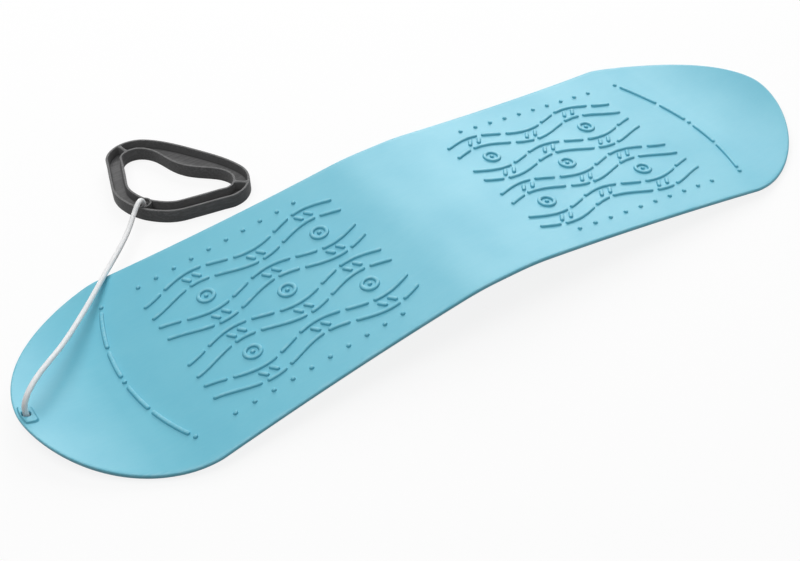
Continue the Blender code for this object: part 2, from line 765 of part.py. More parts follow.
def knot_solid(x, y, top, diameter, height):
    """A drawn-tight stopper knot: a squat ball with lobes that wind about its axis."""
    around = KNOT_SIDES
    levels = KNOT_LEVELS
    polar = np.linspace(0.0, math.pi, levels + 2)[1:-1]
    turn = np.arange(around) * 2.0 * math.pi / around
    vertices = []
    for angle in polar[::-1]:
        lobes = 0.5 - 0.5 * np.cos(KNOT_LOBES * turn + KNOT_TWIST * math.cos(angle))
        radius = diameter / 2 * math.sin(angle) ** KNOT_FULLNESS * (1.0 - KNOT_LOBE_DEPTH * lobes)
        z = top - height / 2 + height / 2 * math.cos(angle)
        vertices += [(x + r * math.cos(t), y + r * math.sin(t), z) for r, t in zip(radius, turn)]
    faces = []
    for level in range(levels - 1):
        faces += ring_faces(level * around, (level + 1) * around, around)
    bottom = len(vertices)
    vertices += [(x, y, top - height), (x, y, top)]
    last = (levels - 1) * around
    for i in range(around):
        j = (i + 1) % around
        faces.append((j, i, bottom))
        faces.append((last + i, last + j, bottom + 1))
    return vertices, faces


def build_knots():
    """The stopper knots under the nose and in the handle's pocket."""
    fibre = make_material("white_rope_knot", (0.82, 0.83, 0.85), 0.8)
    nose = knot_solid(HOLE_X, 0.0, NOSE_KNOT_TOP, NOSE_KNOT_DIAMETER, NOSE_KNOT_HEIGHT)
    make_object("nose_knot", *nose, fibre, 60)
    width = WELL_DIAMETER - 2 * KNOT_PLAY
    pocket = knot_solid(WELL_X, WELL_Y, WEB_BOTTOM - SEAT_GAP, width, HANDLE_KNOT_HEIGHT)
    make_object("handle_knot", *pocket, fibre, 60)


def clear_scene():
    """Remove what a new file holds."""
    for obj in list(bpy.data.objects):
        bpy.data.objects.remove(obj, do_unlink=True)


clear_scene()
build_deck()
build_handle()
build_rope()
build_knots()
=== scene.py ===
"""The looks of a child's one-piece plastic snowboard with its tow rope and pull handle.

Every piece is worked out in metres in the frame of the solids that it rides on: X runs along the
board with the nose at -X, Y runs across it, and Z is up from the middle of the deck.
"""

import logging
import math
from dataclasses import dataclass
from enum import Enum

import bpy
import numpy as np
from mathutils import Matrix, Vector


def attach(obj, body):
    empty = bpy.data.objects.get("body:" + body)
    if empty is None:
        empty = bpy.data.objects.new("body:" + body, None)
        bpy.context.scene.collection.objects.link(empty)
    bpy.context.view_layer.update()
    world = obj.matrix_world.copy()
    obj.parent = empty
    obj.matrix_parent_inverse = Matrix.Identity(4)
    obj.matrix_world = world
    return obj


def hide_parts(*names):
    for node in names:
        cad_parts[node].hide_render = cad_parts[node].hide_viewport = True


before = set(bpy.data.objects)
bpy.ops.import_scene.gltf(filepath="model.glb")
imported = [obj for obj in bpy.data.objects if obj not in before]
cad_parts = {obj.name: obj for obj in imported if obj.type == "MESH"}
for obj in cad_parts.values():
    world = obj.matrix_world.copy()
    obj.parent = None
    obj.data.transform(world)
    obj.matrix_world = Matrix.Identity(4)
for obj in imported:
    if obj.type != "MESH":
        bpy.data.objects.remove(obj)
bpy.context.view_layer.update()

MM = 0.001
SPAN_POINTS = 60
DRILL_REACH = 0.2
WHITE = (1.0, 1.0, 1.0)
Pair = tuple[float, float]
Triple = tuple[float, float, float]
log = logging.getLogger("snowboard")


class Body(Enum):
    """The bodies that pieces ride on."""

    BOARD = "board"
    TOW_ROPE = "tow_rope"
    HANDLE = "handle"


class Slot(Enum):
    """The record's material slots."""

    DECK = "deck_plastic"
    HANDLE = "handle_plastic"
    ROPE = "rope_braid"


# Surfaces


@dataclass
class Surface:
    """Points and faces of one surface, before it becomes a mesh.

    Points may come as a grid, and are put in one row. faces holds arrays of faces, each with one
    corner count. wear gives each point a share from 0, where the finish paints shade, to 1,
    rubbed, and is spread over the grid; on a cord it is the braid's height, whose low places take
    painted shade. corner_uv gives each face corner a place on the surface.
    """

    points: np.ndarray
    faces: list[np.ndarray]
    wear: np.ndarray | None = None
    corner_uv: list[np.ndarray] | None = None

    def __post_init__(self) -> None:
        """Spread the wear over the points, and put both in one row."""
        if self.wear is not None:
            self.wear = np.broadcast_to(self.wear, self.points.shape[:-1]).ravel()
        self.points = self.points.reshape(-1, 3)

    @classmethod
    def joined(cls, surfaces: list["Surface"]) -> "Surface":
        """Several surfaces as one, each with its own points.

        Args:
            surfaces: The surfaces to put together.
        Returns:
            One surface, with the wear of all.
        """
        points = [surface.points for surface in surfaces]
        starts = np.cumsum([0, *map(len, points)])
        faces = [part + start for one, start in zip(surfaces, starts) for part in one.faces]
        return cls(np.concatenate(points), faces, np.concatenate([one.wear for one in surfaces]))


def tube_wall(rows: int, columns: int, looped: bool) -> np.ndarray:
    """Quads over a stack of rings, whose points are stored ring by ring.

    Each joins two neighbouring points of a ring to the same two of the next ring.

    Args:
        rows: Number of rings.
        columns: Number of points in a ring.
        looped: Whether the last ring joins the first.
    Returns:
        The quads, which face out where a ring seen from the last one runs anticlockwise.
    """
    i = np.arange(rows if looped else rows - 1)[:, None]
    j = np.arange(columns)
    a, b = (i + 1) % rows, (j + 1) % columns
    corners = [i * columns + b, a * columns + b, a * columns + j, i * columns + j]
    return np.stack(np.broadcast_arrays(*corners), axis=-1).reshape(-1, 4)


def tube_faces(rows: int, columns: int) -> list[np.ndarray]:
    """The wall and both end caps of a stack of rings, whose points are stored ring by ring.

    Args:
        rows: Number of rings.
        columns: Number of points in a ring.
    Returns:
        The quads, and the two caps.
    """
    ring = np.arange(columns)
    caps = np.stack([ring[::-1], (rows - 1) * columns + ring])
    return [tube_wall(rows, columns, False), caps]


def spokes(count: int) -> np.ndarray:
    """Cosines and sines of even turns: unit directions from above, anticlockwise from +X."""
    turn = np.arange(count) * 2.0 * math.pi / count
    return np.stack([np.cos(turn), np.sin(turn)], axis=-1)


def lifted(plan: np.ndarray, height: np.ndarray | float) -> np.ndarray:
    """Points from above with their heights, which are spread over them, as X, Y and Z."""
    z = np.broadcast_to(height, plan.shape[:-1])
    return np.concatenate([plan, z[..., None]], axis=-1)


def smooth(share: np.ndarray) -> np.ndarray:
    """Smoothstep of a share from 0 to 1: three times its square less twice its cube."""
    return share * share * (3.0 - 2.0 * share)


def unit(vectors: np.ndarray) -> np.ndarray:
    """The same directions at length one: vectors divided by their lengths."""
    return vectors / np.linalg.norm(vectors, axis=-1, keepdims=True)


def even_points(line: np.ndarray, count: int) -> np.ndarray:
    """Points at an even spacing along a dense line.

    They are interpolated at even shares of the line's run, which is the sum of its steps.

    Args:
        line: Points of the dense line.
        count: How many points to give back, both ends included.
    Returns:
        The spaced points.
    """
    steps = np.linalg.norm(np.diff(line, axis=0), axis=1)
    run = np.concatenate([[0.0], np.cumsum(steps)])
    places = np.linspace(0.0, run[-1], count)
    return np.stack([np.interp(places, run, column) for column in line.T], axis=1)


def catmull_rom(points: np.ndarray, per_span: int) -> np.ndarray:
    """A dense centripetal Catmull-Rom curve through all points but the first and the last.

    Each span blends its four nearest points twice over, with knots that stand apart by the square
    root of the distance between the points.

    Args:
        points: The route's points, at least four.
        per_span: Points to work out in each span.
    Returns:
        The curve's points, from the second route point up to, and without, the last but one.
    """
    a, b, c, d = points[:-3], points[1:-2], points[2:-1], points[3:]
    t1 = np.sqrt(np.linalg.norm(b - a, axis=1))[:, None, None]
    t2 = t1 + np.sqrt(np.linalg.norm(c - b, axis=1))[:, None, None]
    t3 = t2 + np.sqrt(np.linalg.norm(d - c, axis=1))[:, None, None]
    share = np.linspace(0.0, 1.0, per_span, endpoint=False)[None, :, None]
    t = t1 + (t2 - t1) * share
    a, b, c, d = (corner[:, None, :] for corner in (a, b, c, d))
    a1 = (t1 - t) / t1 * a + t / t1 * b
    a2 = (t2 - t) / (t2 - t1) * b + (t - t1) / (t2 - t1) * c
    a3 = (t3 - t) / (t3 - t2) * c + (t - t2) / (t3 - t2) * d
    b1 = (t2 - t) / t2 * a1 + t / t2 * a2
    b2 = (t3 - t) / (t3 - t1) * a2 + (t - t1) / (t3 - t1) * a3
    curve = (t2 - t) / (t2 - t1) * b1 + (t - t1) / (t2 - t1) * b2
    return curve.reshape(-1, points.shape[1])


def closed_curve(points: np.ndarray, count: int) -> np.ndarray:
    """An even, smooth closed line through points: the open curve with its ends lapped.

    Args:
        points: The points, in order round the loop.
        count: How many points to give back.
    Returns:
        The loop's points, without a repeat of the first.
    """
    lapped = np.vstack([points[-1:], points, points[:2]])
    dense = catmull_rom(lapped, SPAN_POINTS)
    return even_points(np.vstack([dense, dense[:1]]), count + 1)[:-1]


def inward(loop: np.ndarray) -> np.ndarray:
    """Unit normals into an anticlockwise loop: the chord between neighbours, turned left."""
    along = np.roll(loop, -1, axis=0) - np.roll(loop, 1, axis=0)
    return unit(np.stack([-along[:, 1], along[:, 0]], axis=1))


def make_piece(
    name: str, surface: Surface, material: bpy.types.Material, smooth_angle: float = 40.0
) -> bpy.types.Object:
    """Put a surface into a mesh object that stands at the origin.

    Args:
        name: The piece's name.
        surface: Its points and faces, in the frame of the solids.
        material: Its finish.
        smooth_angle: Edges sharper than this many degrees stay sharp.
    Returns:
        The new object.
    """
    corners = np.concatenate([part.ravel() for part in surface.faces]).astype(np.int32)
    counts = np.concatenate([np.full(len(part), part.shape[1]) for part in surface.faces])
    starts = np.concatenate([[0], np.cumsum(counts)[:-1]]).astype(np.int32)
    mesh = bpy.data.meshes.new(name)
    mesh.vertices.add(len(surface.points))
    mesh.vertices.foreach_set("co", surface.points.astype(np.float32).ravel())
    mesh.loops.add(len(corners))
    mesh.loops.foreach_set("vertex_index", corners)
    mesh.polygons.add(len(counts))
    mesh.polygons.foreach_set("loop_start", starts)
    mesh.update(calc_edges=True)
    if surface.wear is not None:
        wear = mesh.attributes.new("wear", "FLOAT", "POINT")
        wear.data.foreach_set("value", surface.wear.astype(np.float32))
    if surface.corner_uv is not None:
        flat = np.concatenate([part.reshape(-1, 2) for part in surface.corner_uv])
        layer = mesh.uv_layers.new(name="lay")
        layer.data.foreach_set("uv", flat.astype(np.float32).ravel())
    mesh.validate()
    mesh.shade_smooth()
    mesh.set_sharp_from_angle(angle=math.radians(smooth_angle))
    mesh.materials.append(material)
    piece = bpy.data.objects.new(name, mesh)
    bpy.context.scene.collection.objects.link(piece)
    return piece


def read_values(
    items: bpy.types.bpy_prop_collection, name: str, kind: type, size: int = 1
) -> np.ndarray:
    """One property of all the items of a mesh.

    Args:
        items: The items, such as the mesh's vertices.
        name: The property.
        kind: The type of its numbers.
        size: How many numbers it has for each item.
    Returns:
        The numbers, as a flat array.
    """
    values = np.empty(len(items) * size, dtype=kind)
    items.foreach_get(name, values)
    return values


def drilled(surface: Surface, centre: Pair, radius: float, sides: int) -> Surface:
    """A closed surface with a plumb round hole drilled right through it.

    A many-sided rod about the hole's axis is taken away from it.

    Args:
        surface: The closed surface, with its wear.
        centre: The hole's axis, from above.
        radius: The hole's radius.
        sides: How many flats stand for the hole's wall.
    Returns:
        The drilled surface, with its wear.
    """
    blank = make_piece("blank", surface, bpy.data.materials.new("blank"))
    plan = np.array(centre) + radius * spokes(sides)
    rod = np.vstack([lifted(plan, z) for z in (-DRILL_REACH, DRILL_REACH)])
    drill = make_piece("drill", Surface(rod, tube_faces(2, sides)), blank.data.materials[0])
    cut = blank.modifiers.new("hole", "BOOLEAN")
    cut.operation = "DIFFERENCE"
    cut.solver = "EXACT"
    cut.object = drill
    depsgraph = bpy.context.evaluated_depsgraph_get()
    mesh = bpy.data.meshes.new_from_object(blank.evaluated_get(depsgraph))
    points = read_values(mesh.vertices, "co", float, 3)
    corners = read_values(mesh.loops, "vertex_index", int)
    starts = read_values(mesh.polygons, "loop_start", int)
    counts = read_values(mesh.polygons, "loop_total", int)
    wear = read_values(mesh.attributes["wear"].data, "value", float)
    faces = [corners[starts[counts == n][:, None] + np.arange(n)] for n in np.unique(counts)]
    for piece in (blank, drill):
        bpy.data.objects.remove(piece, do_unlink=True)
    return Surface(points.reshape(-1, 3), faces, wear)


def dressed(piece: bpy.types.Object, body: Body, slot: Slot, *nodes: str) -> bpy.types.Object:
    """Let a piece ride on a body and stand for its solids.

    Args:
        piece: The finished piece.
        body: The body that it rides on.
        slot: The material slot that it takes its finish from; not used.
        nodes: The solids that it stands for.
    Returns:
        The same piece.
    """
    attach(piece, body.value)
    if nodes:
        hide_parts(*nodes)
    log.info("%s: %d faces on %s", piece.name, len(piece.data.polygons), body.value)
    return piece


# Shader maths


class Value:
    """A number socket whose operators add Math nodes, so that a formula reads as one."""

    def __init__(self, graph: "Graph", socket: bpy.types.NodeSocket) -> None:
        """Wrap a socket of a graph."""
        self.graph = graph
        self.socket = socket

    def _math(self, operation: str, *values: "Value | float") -> "Value":
        """The result of a Math node on these values."""
        return self.graph.node("ShaderNodeMath", {"operation": operation}, dict(enumerate(values)))

    def __add__(self, other: "Value | float") -> "Value":
        """Sum."""
        return self._math("ADD", self, other)

    def __radd__(self, other: float) -> "Value":
        """Sum, number first."""
        return self._math("ADD", other, self)

    def __sub__(self, other: "Value | float") -> "Value":
        """Difference."""
        return self._math("SUBTRACT", self, other)

    def __rsub__(self, other: float) -> "Value":
        """Difference, number first."""
        return self._math("SUBTRACT", other, self)

    def __mul__(self, other: "Value | float") -> "Value":
        """Product."""
        return self._math("MULTIPLY", self, other)

    def __rmul__(self, other: float) -> "Value":
        """Product, number first."""
        return self._math("MULTIPLY", other, self)

    def largest(self, other: "Value | float") -> "Value":
        """The larger of two values."""
        return self._math("MAXIMUM", self, other)

    def step(self, low: float, high: float) -> "Value":
        """A smooth step from 0 to 1.

        Args:
            low: Up to here the step is 0.
            high: From here on it is 1.
        Returns:
            The step.
        """
        settings = {"interpolation_type": "SMOOTHSTEP", "clamp": True}
        sockets = {"Value": self, "From Min": low, "From Max": high}
        return self.graph.node("ShaderNodeMapRange", settings, sockets)

    def feed(self, socket: bpy.types.NodeSocket) -> None:
        """Link this value to an input."""
        self.graph.tree.links.new(self.socket, socket)


def set_inputs(node: bpy.types.Node, inputs: dict[int | str, Value | float | tuple]) -> None:
    """Link or set a node's inputs.

    Args:
        node: The node.
        inputs: Links or values of its inputs, by name or number.
    """
    for name, value in inputs.items():
        if isinstance(value, Value):
            value.feed(node.inputs[name])
        else:
            node.inputs[name].default_value = value


class Graph:
    """The node tree of one material or world."""

    def __init__(self, tree: bpy.types.NodeTree) -> None:
        """Take over a tree."""
        self.tree = tree

    def node(
        self,
        kind: str,
        settings: dict[str, str | bool],
        sockets: dict[int | str, Value | float | tuple],
        output: int | str = 0,
    ) -> Value:
        """Add a node.

        Args:
            kind: The node's type.
            settings: Its own settings, which are set first.
            sockets: Values or links of its inputs, by name or number.
            output: The output to give back, by name or number.
        Returns:
            That output, wrapped.
        """
        made = self.tree.nodes.new(kind)
        for name, value in settings.items():
            setattr(made, name, value)
        set_inputs(made, sockets)
        return Value(self, made.outputs[output])

    def coordinates(self, kind: str = "Object", scale: Triple = (1.0, 1.0, 1.0)) -> Value:
        """Texture coordinates, stretched by a scale."""
        place = self.node("ShaderNodeTexCoord", {}, {}, kind)
        return self.node("ShaderNodeMapping", {}, {"Vector": place, "Scale": scale})

    def noise(self, place: Value, scale: float, detail: float, roughness: float) -> Value:
        """Soft noise from 0 to 1 at a number of cells to the metre."""
        sockets = {"Vector": place, "Scale": scale, "Detail": detail, "Roughness": roughness}
        return self.node("ShaderNodeTexNoise", {}, sockets)

    def blend(self, share: Value, first: Triple | Value, second: Triple | Value) -> Value:
        """A colour between two colours."""
        sockets = {0: share, 6: self._color(first), 7: self._color(second)}
        return self.node("ShaderNodeMix", {"data_type": "RGBA"}, sockets, 2)

    @staticmethod
    def _color(color: Triple | Value) -> tuple | Value:
        """A colour with its alpha, or a link as it is."""
        return color if isinstance(color, Value) else (*color, 1.0)

    def attribute(self, name: str) -> Value:
        """A number that the mesh carries at its points."""
        return self.node("ShaderNodeAttribute", {"attribute_name": name}, {}, "Fac")

    def bump(self, height: Value, depth: float) -> Value:
        """A normal bent by a height of so many metres."""
        return self.node("ShaderNodeBump", {}, {"Height": height, "Distance": depth})


def new_material(name: str) -> tuple[bpy.types.Material, Graph, bpy.types.Node]:
    """A material with its graph and its Principled shader.

    Args:
        name: The material's name.
    Returns:
        The material, its graph and its shader node.
    """
    material = bpy.data.materials.new(name)
    material.use_nodes = True
    graph = Graph(material.node_tree)
    return material, graph, material.node_tree.nodes["Principled BSDF"]


@dataclass(frozen=True)
class MouldedPlastic:
    """Satin injection-moulded plastic: fine grain, faint clouding, rubbed edges, painted shade.

    clouds, streaks and grain are cells to the metre, and ripple is the ripple's share of the
    grain's cells. rub and painted_shade_share are how much of the rubbed colour and of the
    painted shade show where each is strongest. A band is where a smooth step starts and ends.
    rough_swing and heights are how far clouds, grain and rubbing change the roughness, and grain,
    ripple and streaks the skin.
    """

    name: str
    color: Triple
    deep: Triple
    rubbed: Triple
    # Colour of the painted shade in corners and at the feet of raised parts.
    painted_shade: Triple
    roughness: float
    grain: float
    grain_depth: float
    rub: float
    specular: float
    clouds: float = 14.0
    streaks: float = 42.0
    streak_stretch: float = 14.0
    ripple: float = 0.18
    painted_shade_share: float = 0.5
    cloud_band: Pair = (0.35, 0.7)
    streak_band: Pair = (0.42, 0.62)
    painted_shade_band: Pair = (0.01, 0.10)
    rough_swing: Triple = (0.04, 0.06, 0.15)
    heights: Triple = (0.6, 0.9, 0.5)
    refraction: float = 1.5

    def material(self) -> bpy.types.Material:
        """Build the finish.

        Colour: the plain colour clouded towards the deep one by broad noise, darkened towards the
        painted shade colour where the wear attribute is near 0, which paints shade into corners,
        down walls and round the feet of raised parts, then lightened where that attribute and a
        scratchy
        noise meet. Roughness: the plain value, a little higher in the clouds and on rubbed places.
        Normal: two sizes of grain.

        Returns:
            The material.
        """
        material, graph, shader = new_material(self.name)
        place = graph.coordinates()
        cloud = graph.noise(place, self.clouds, detail=3.0, roughness=0.55).step(*self.cloud_band)
        grain = graph.noise(place, self.grain, detail=2.0, roughness=0.6)
        stretched = graph.coordinates(scale=(1.0, self.streak_stretch, self.streak_stretch))
        streaks = graph.noise(stretched, self.streaks, detail=4.0, roughness=0.7)
        wear = graph.attribute("wear")
        rubbed = wear * streaks.step(*self.streak_band) * self.rub
        # Painted shade: darker where the wear attribute is near 0, in corners and at the feet of
        # parts.
        painted_shade = (1.0 - wear.step(*self.painted_shade_band)) * self.painted_shade_share
        plain = graph.blend(painted_shade, graph.blend(cloud, self.color, self.deep), self.painted_shade)
        color = graph.blend(rubbed, plain, self.rubbed)
        by_cloud, by_grain, by_rub = self.rough_swing
        least = self.roughness - (by_cloud + by_grain) / 2
        roughness = cloud * by_cloud + grain * by_grain + rubbed * by_rub + least
        ripple = graph.noise(place, self.grain * self.ripple, detail=2.0, roughness=0.5)
        of_grain, of_ripple, of_streaks = self.heights
        height = grain * of_grain + ripple * of_ripple + streaks * wear * of_streaks
        set_inputs(shader, {
            "Base Color": color,
            "Roughness": roughness,
            "Normal": graph.bump(height, self.grain_depth),
            "IOR": self.refraction,
            "Specular IOR Level": self.specular,
        })
        return material


@dataclass(frozen=True)
class BraidedFibre:
    """White braided cord: bright crowns, painted shade in the hollows between strands, fine yarns.

    yarns is how many of them a turn round the cord shows, yarn_stretch how much fewer there are
    along it, and fuzz cells to the metre. glow and glow_depth are how much of the light spreads
    inside, and how far.
    """

    name: str
    crown: Triple
    # Colour of the hollows between strands: painted shade.
    hollow: Triple
    roughness: float
    yarns: float
    yarn_depth: float = 0.12 * MM
    yarn_stretch: float = 0.12
    fuzz: float = 2400.0
    crown_share: float = 0.75
    yarn_share: float = 0.35
    tone_band: Pair = (0.05, 0.90)
    heights: Pair = (0.7, 0.4)
    sheen: float = 0.2
    glow: float = 0.4
    glow_depth: float = 2.0 * MM

    def material(self) -> bpy.types.Material:
        """Build the finish.

        Colour: from the painted shade of the hollows to the crown by the wear attribute, which the
        braid writes as its height, and by the yarns. Normal: fine yarn lines along the cord from a
        stretched noise on the cord's own UV map, and fuzz.

        Returns:
            The material.
        """
        material, graph, shader = new_material(self.name)
        crown = graph.attribute("wear")
        lay = graph.coordinates("UV", (self.yarns, self.yarns * self.yarn_stretch, 1.0))
        yarn = graph.noise(lay, 1.0, detail=3.0, roughness=0.6)
        fuzz = graph.noise(graph.coordinates(), self.fuzz, detail=2.0, roughness=0.6)
        tone = crown * self.crown_share + yarn * self.yarn_share
        # Low places of the braid take the painted shade of the hollows.
        color = graph.blend(tone.step(*self.tone_band), self.hollow, self.crown)
        of_yarn, of_fuzz = self.heights
        height = yarn * of_yarn + fuzz * of_fuzz
        set_inputs(shader, {
            "Base Color": color,
            "Normal": graph.bump(height, self.yarn_depth),
            "Roughness": self.roughness,
            "Sheen Weight": self.sheen,
            "Subsurface Weight": self.glow,
            "Subsurface Radius": WHITE,
            "Subsurface Scale": self.glow_depth,
        })
        return material


# The board


@dataclass(frozen=True)
class BoardForm:
    """The board's sizes in metres, and the formulas of its surfaces.

    sidecut is how much wider each side is at the caps than at the waist, and cap_shoulder and
    cap_nose are the powers of a cap's outline. arch_slope is the fall's tangent, footing half the
    length of the flat cut, and dish and sole_dish are rises per metre squared.
    """

    length: float = 0.720
    waist: float = 0.201
    sidecut: float = 0.0116
    cap: float = 0.107
    cap_shoulder: float = 1.55
    cap_nose: float = 1.78
    wall: float = 0.0034
    flat_length: float = 0.020
    flat_width: float = 0.020
    arch_radius: float = 0.240
    arch_slope: float = 0.125
    upturn_start: float = 0.265
    upturn_radius: float = 0.187
    footing: float = 0.006
    dish: float = 0.32
    sole_flat: float = 0.090
    sole_dish: float = 0.80
    hole_from_tip: float = 0.0065

    @property
    def tip(self) -> float:
        """Distance of the tips from the middle."""
        return self.length / 2

    @property
    def hole_x(self) -> float:
        """Place of the rope hole's axis along the board."""
        return self.hole_from_tip - self.tip

    def half_width(self, x: np.ndarray) -> np.ndarray:
        """Half the board's width: a parabolic sidecut, closed over each cap by a rounded power.

        Args:
            x: Places along the board.
        Returns:
            The half widths.
        """
        x = np.abs(x)
        start = self.tip - self.cap
        side = self.waist / 2 + self.sidecut * (x / start) ** 2
        share = np.clip((x - start) / self.cap, 0.0, 1.0)
        return side * (1.0 - share ** self.cap_shoulder) ** (1.0 / self.cap_nose)

    def deck_line(self, x: np.ndarray) -> np.ndarray:
        """Height of the deck's middle line.

        A flat centre, an arc, a straight fall and an arc that turns up into the tip, cut off flat
        where it would dip below its footing.

        Args:
            x: Places along the board.
        Returns:
            The heights.
        """
        x = np.abs(x)
        angle = math.atan(self.arch_slope)
        x1 = self.flat_length / 2 + self.arch_radius * math.sin(angle)
        z1 = -self.arch_radius * (1.0 - math.cos(angle))
        z2 = z1 - self.arch_slope * (self.upturn_start - x1)
        low_x = self.upturn_start + self.upturn_radius * math.sin(angle)
        low_z = z2 - self.upturn_radius * (1.0 - math.cos(angle))
        from_flat = np.clip(x - self.flat_length / 2, 0.0, x1)
        arc = np.sqrt(self.arch_radius ** 2 - from_flat ** 2) - self.arch_radius
        fall = z1 - self.arch_slope * (x - x1)
        from_low = np.clip(x, self.upturn_start, None) - low_x
        centre_z = low_z + self.upturn_radius
        upturn = centre_z - np.sqrt(self.upturn_radius ** 2 - from_low ** 2)
        footing = centre_z - math.sqrt(self.upturn_radius ** 2 - self.footing ** 2)
        line = np.where(x < x1, arc, np.where(x < self.upturn_start, fall, upturn))
        return np.maximum(line, footing)

    def deck_top(self, x: np.ndarray, y: np.ndarray) -> np.ndarray:
        """Height of the upper skin: the deck line, dished by the square past its flat."""
        beside = np.clip(np.abs(y) - self.flat_width / 2, 0.0, None)
        return self.deck_line(x) + self.dish * beside ** 2

    def sole(self, x: np.ndarray, y: np.ndarray) -> np.ndarray:
        """Height of the sole: a wall below the deck line, raised by the square past its flat."""
        beside = np.clip(np.abs(y) - self.sole_flat / 2, 0.0, None)
        return self.deck_line(x) - self.wall + self.sole_dish * beside ** 2

    @property
    def ground(self) -> float:
        """Height of the ground that the board stands on: the sole where the deck line is lowest."""
        low_x = self.upturn_start + self.upturn_radius * self.arch_slope
        return float(self.deck_line(low_x)) - self.wall


@dataclass
class GripRelief:
    """The raised grip of both foot zones: wavy dashed pairs, rungs, rings, dots and an arc.

    foot is half a rib's width, and half_gap half the gap between two dashes. swing is how far a
    pair sways to each side, and spread how far its lanes lie from its middle. flank tells how far
    beyond foot the section's outer points stand, and ridge is half the flat on its crown.
    """

    form: BoardForm
    height: float = 1.8 * MM
    foot: float = 1.75 * MM
    half_gap: float = 3.5 * MM
    edge_dot_start: float = 84.5 * MM
    edge_dot_pitch: float = 16 * MM
    edge_dot_count: int = 10
    edge_dot_y: float = 82.2 * MM
    arc_crown_x: float = 279 * MM
    arc_end_x: float = 261 * MM
    arc_inner_dash: float = 0.43
    wave_start: float = 60 * MM
    wave_end: float = 247 * MM
    wave_length: float = 104 * MM
    swing: float = 6.5 * MM
    pairs: int = 4
    pair_pitch: float = 38 * MM
    spread: float = 7.6 * MM
    long_dash: float = 32 * MM
    short_dash: float = 14 * MM
    rung: float = 5.5 * MM
    rung_slant: float = math.radians(35)
    rung_pitch: float = 9 * MM
    ring_diameter: float = 16 * MM
    dot_extra: float = 0.15 * MM
    sunk: float = 0.5 * MM
    flank: Triple = (0.25 * MM, 0.15 * MM, -0.06 * MM)
    flank_rise: float = 0.12 * MM
    crown_inset: float = 0.2 * MM
    crown_start: float = 0.12
    crown_points: int = 7
    ridge: float = 0.02 * MM
    crown_width_power: float = 0.55
    crown_rise_power: float = 0.8
    line_points: int = 9
    end_points: int = 7
    around: int = 24

    def wave(self, x: np.ndarray, pair: int, lane: int) -> np.ndarray:
        """Across place of a lane: its pair's middle, plus a sine swing, plus the lane's offset.

        Args:
            x: Places along the board.
            pair: The pair's number.
            lane: -1 or 1 for a pair's two lanes, and 0 for its middle.
        Returns:
            The places across.
        """
        middle = (pair - (self.pairs - 1) / 2) * self.pair_pitch
        swing = self.swing * (1 if pair % 2 else -1)
        phase = 2.0 * math.pi * (x - self.wave_start) / self.wave_length
        return middle + swing * np.sin(phase) + lane * self.spread

    def lanes(self) -> list[np.ndarray]:
        """The long and short dashes of every lane, by turns.

        Each follows its lane's wave, and starts one gap after the end of the last.

        Returns:
            Their middle lines.
        """
        lines = []
        for pair in range(self.pairs):
            for lane in (-1, 1):
                x, long_next = self.wave_start, lane > 0
                while x + (self.long_dash if long_next else self.short_dash) <= self.wave_end:
                    length = self.long_dash if long_next else self.short_dash
                    reach = np.linspace(x, x + length, self.line_points)
                    lines.append(np.stack([reach, self.wave(reach, pair, lane)], axis=1))
                    x += length + 2 * self.half_gap
                    long_next = not long_next
        return lines

    def rungs(self) -> list[np.ndarray]:
        """The slanted rungs, two at every crest and trough of a pair.

        These come a quarter of a wave from its start and then every half wave, and the two rungs
        stand half a pitch to each side.

        Returns:
            Their middle lines.
        """
        lines = []
        reach = self.rung / 2 * np.linspace(-1.0, 1.0, self.line_points)
        first = self.wave_start + self.wave_length / 4
        for pair in range(self.pairs):
            for crest in np.arange(first, self.wave_end - self.rung_pitch, self.wave_length / 2):
                for x in (crest - self.rung_pitch / 2, crest + self.rung_pitch / 2):
                    along = x + reach * math.sin(self.rung_slant)
                    across = self.wave(x, pair, 0) + reach * math.cos(self.rung_slant)
                    lines.append(np.stack([along, across], axis=1))
        return lines

    def ring_places(self) -> list[Pair]:
        """The rings, in the wide places between neighbouring pairs.

        Two pairs swing apart a quarter or three quarters of a wave from its start and then every
        wave, and the ring stands midway between their middles.

        Returns:
            Their centres.
        """
        places = []
        for pair in range(self.pairs - 1):
            first = self.wave_start + self.wave_length * (0.75 if pair % 2 else 0.25)
            for x in np.arange(first, self.wave_end - self.ring_diameter, self.wave_length):
                y = (self.wave(x, pair, 0) + self.wave(x, pair + 1, 0)) / 2
                places.append((x, y))
        return places

    def arc(self) -> tuple[list[np.ndarray], list[Pair]]:
        """The closing arc: a circle through its crown and its two end dots, cut into dashes.

        Its radius is the square of its half width plus that of its rise, over twice the rise.

        Returns:
            Middle lines of its dashes, and the places of its dots.
        """
        rise = self.arc_crown_x - self.arc_end_x
        radius = (self.edge_dot_y ** 2 + rise ** 2) / (2 * rise)
        centre = self.arc_crown_x - radius
        end_angle = math.asin(self.edge_dot_y / radius)
        gap = 2 * self.half_gap / radius
        inner = self.arc_inner_dash * (end_angle - 3 * gap)
        lines = []
        for side in (-1, 1):
            for start, stop in ((gap, gap + inner), (2 * gap + inner, end_angle - gap)):
                angles = side * np.linspace(start, stop, self.line_points)
                x, y = centre + radius * np.cos(angles), radius * np.sin(angles)
                lines.append(np.stack([x, y], axis=1))
        dots = [
            (centre + radius * math.cos(angle), radius * math.sin(angle))
            for angle in (-end_angle, 0.0, end_angle)
        ]
        return lines, dots

    def edge_dots(self) -> list[Pair]:
        """Places of the dots along both edges, at an even pitch."""
        reach = self.edge_dot_start + self.edge_dot_pitch * np.arange(self.edge_dot_count)
        return [(x, side * self.edge_dot_y) for side in (-1, 1) for x in reach]

    @staticmethod
    def both_ends(places: list[np.ndarray] | list[Pair]) -> np.ndarray:
        """Places in the tail's foot zone, and their mirror images in the nose's."""
        return np.concatenate([np.array(places) * (end, 1) for end in (-1, 1)])

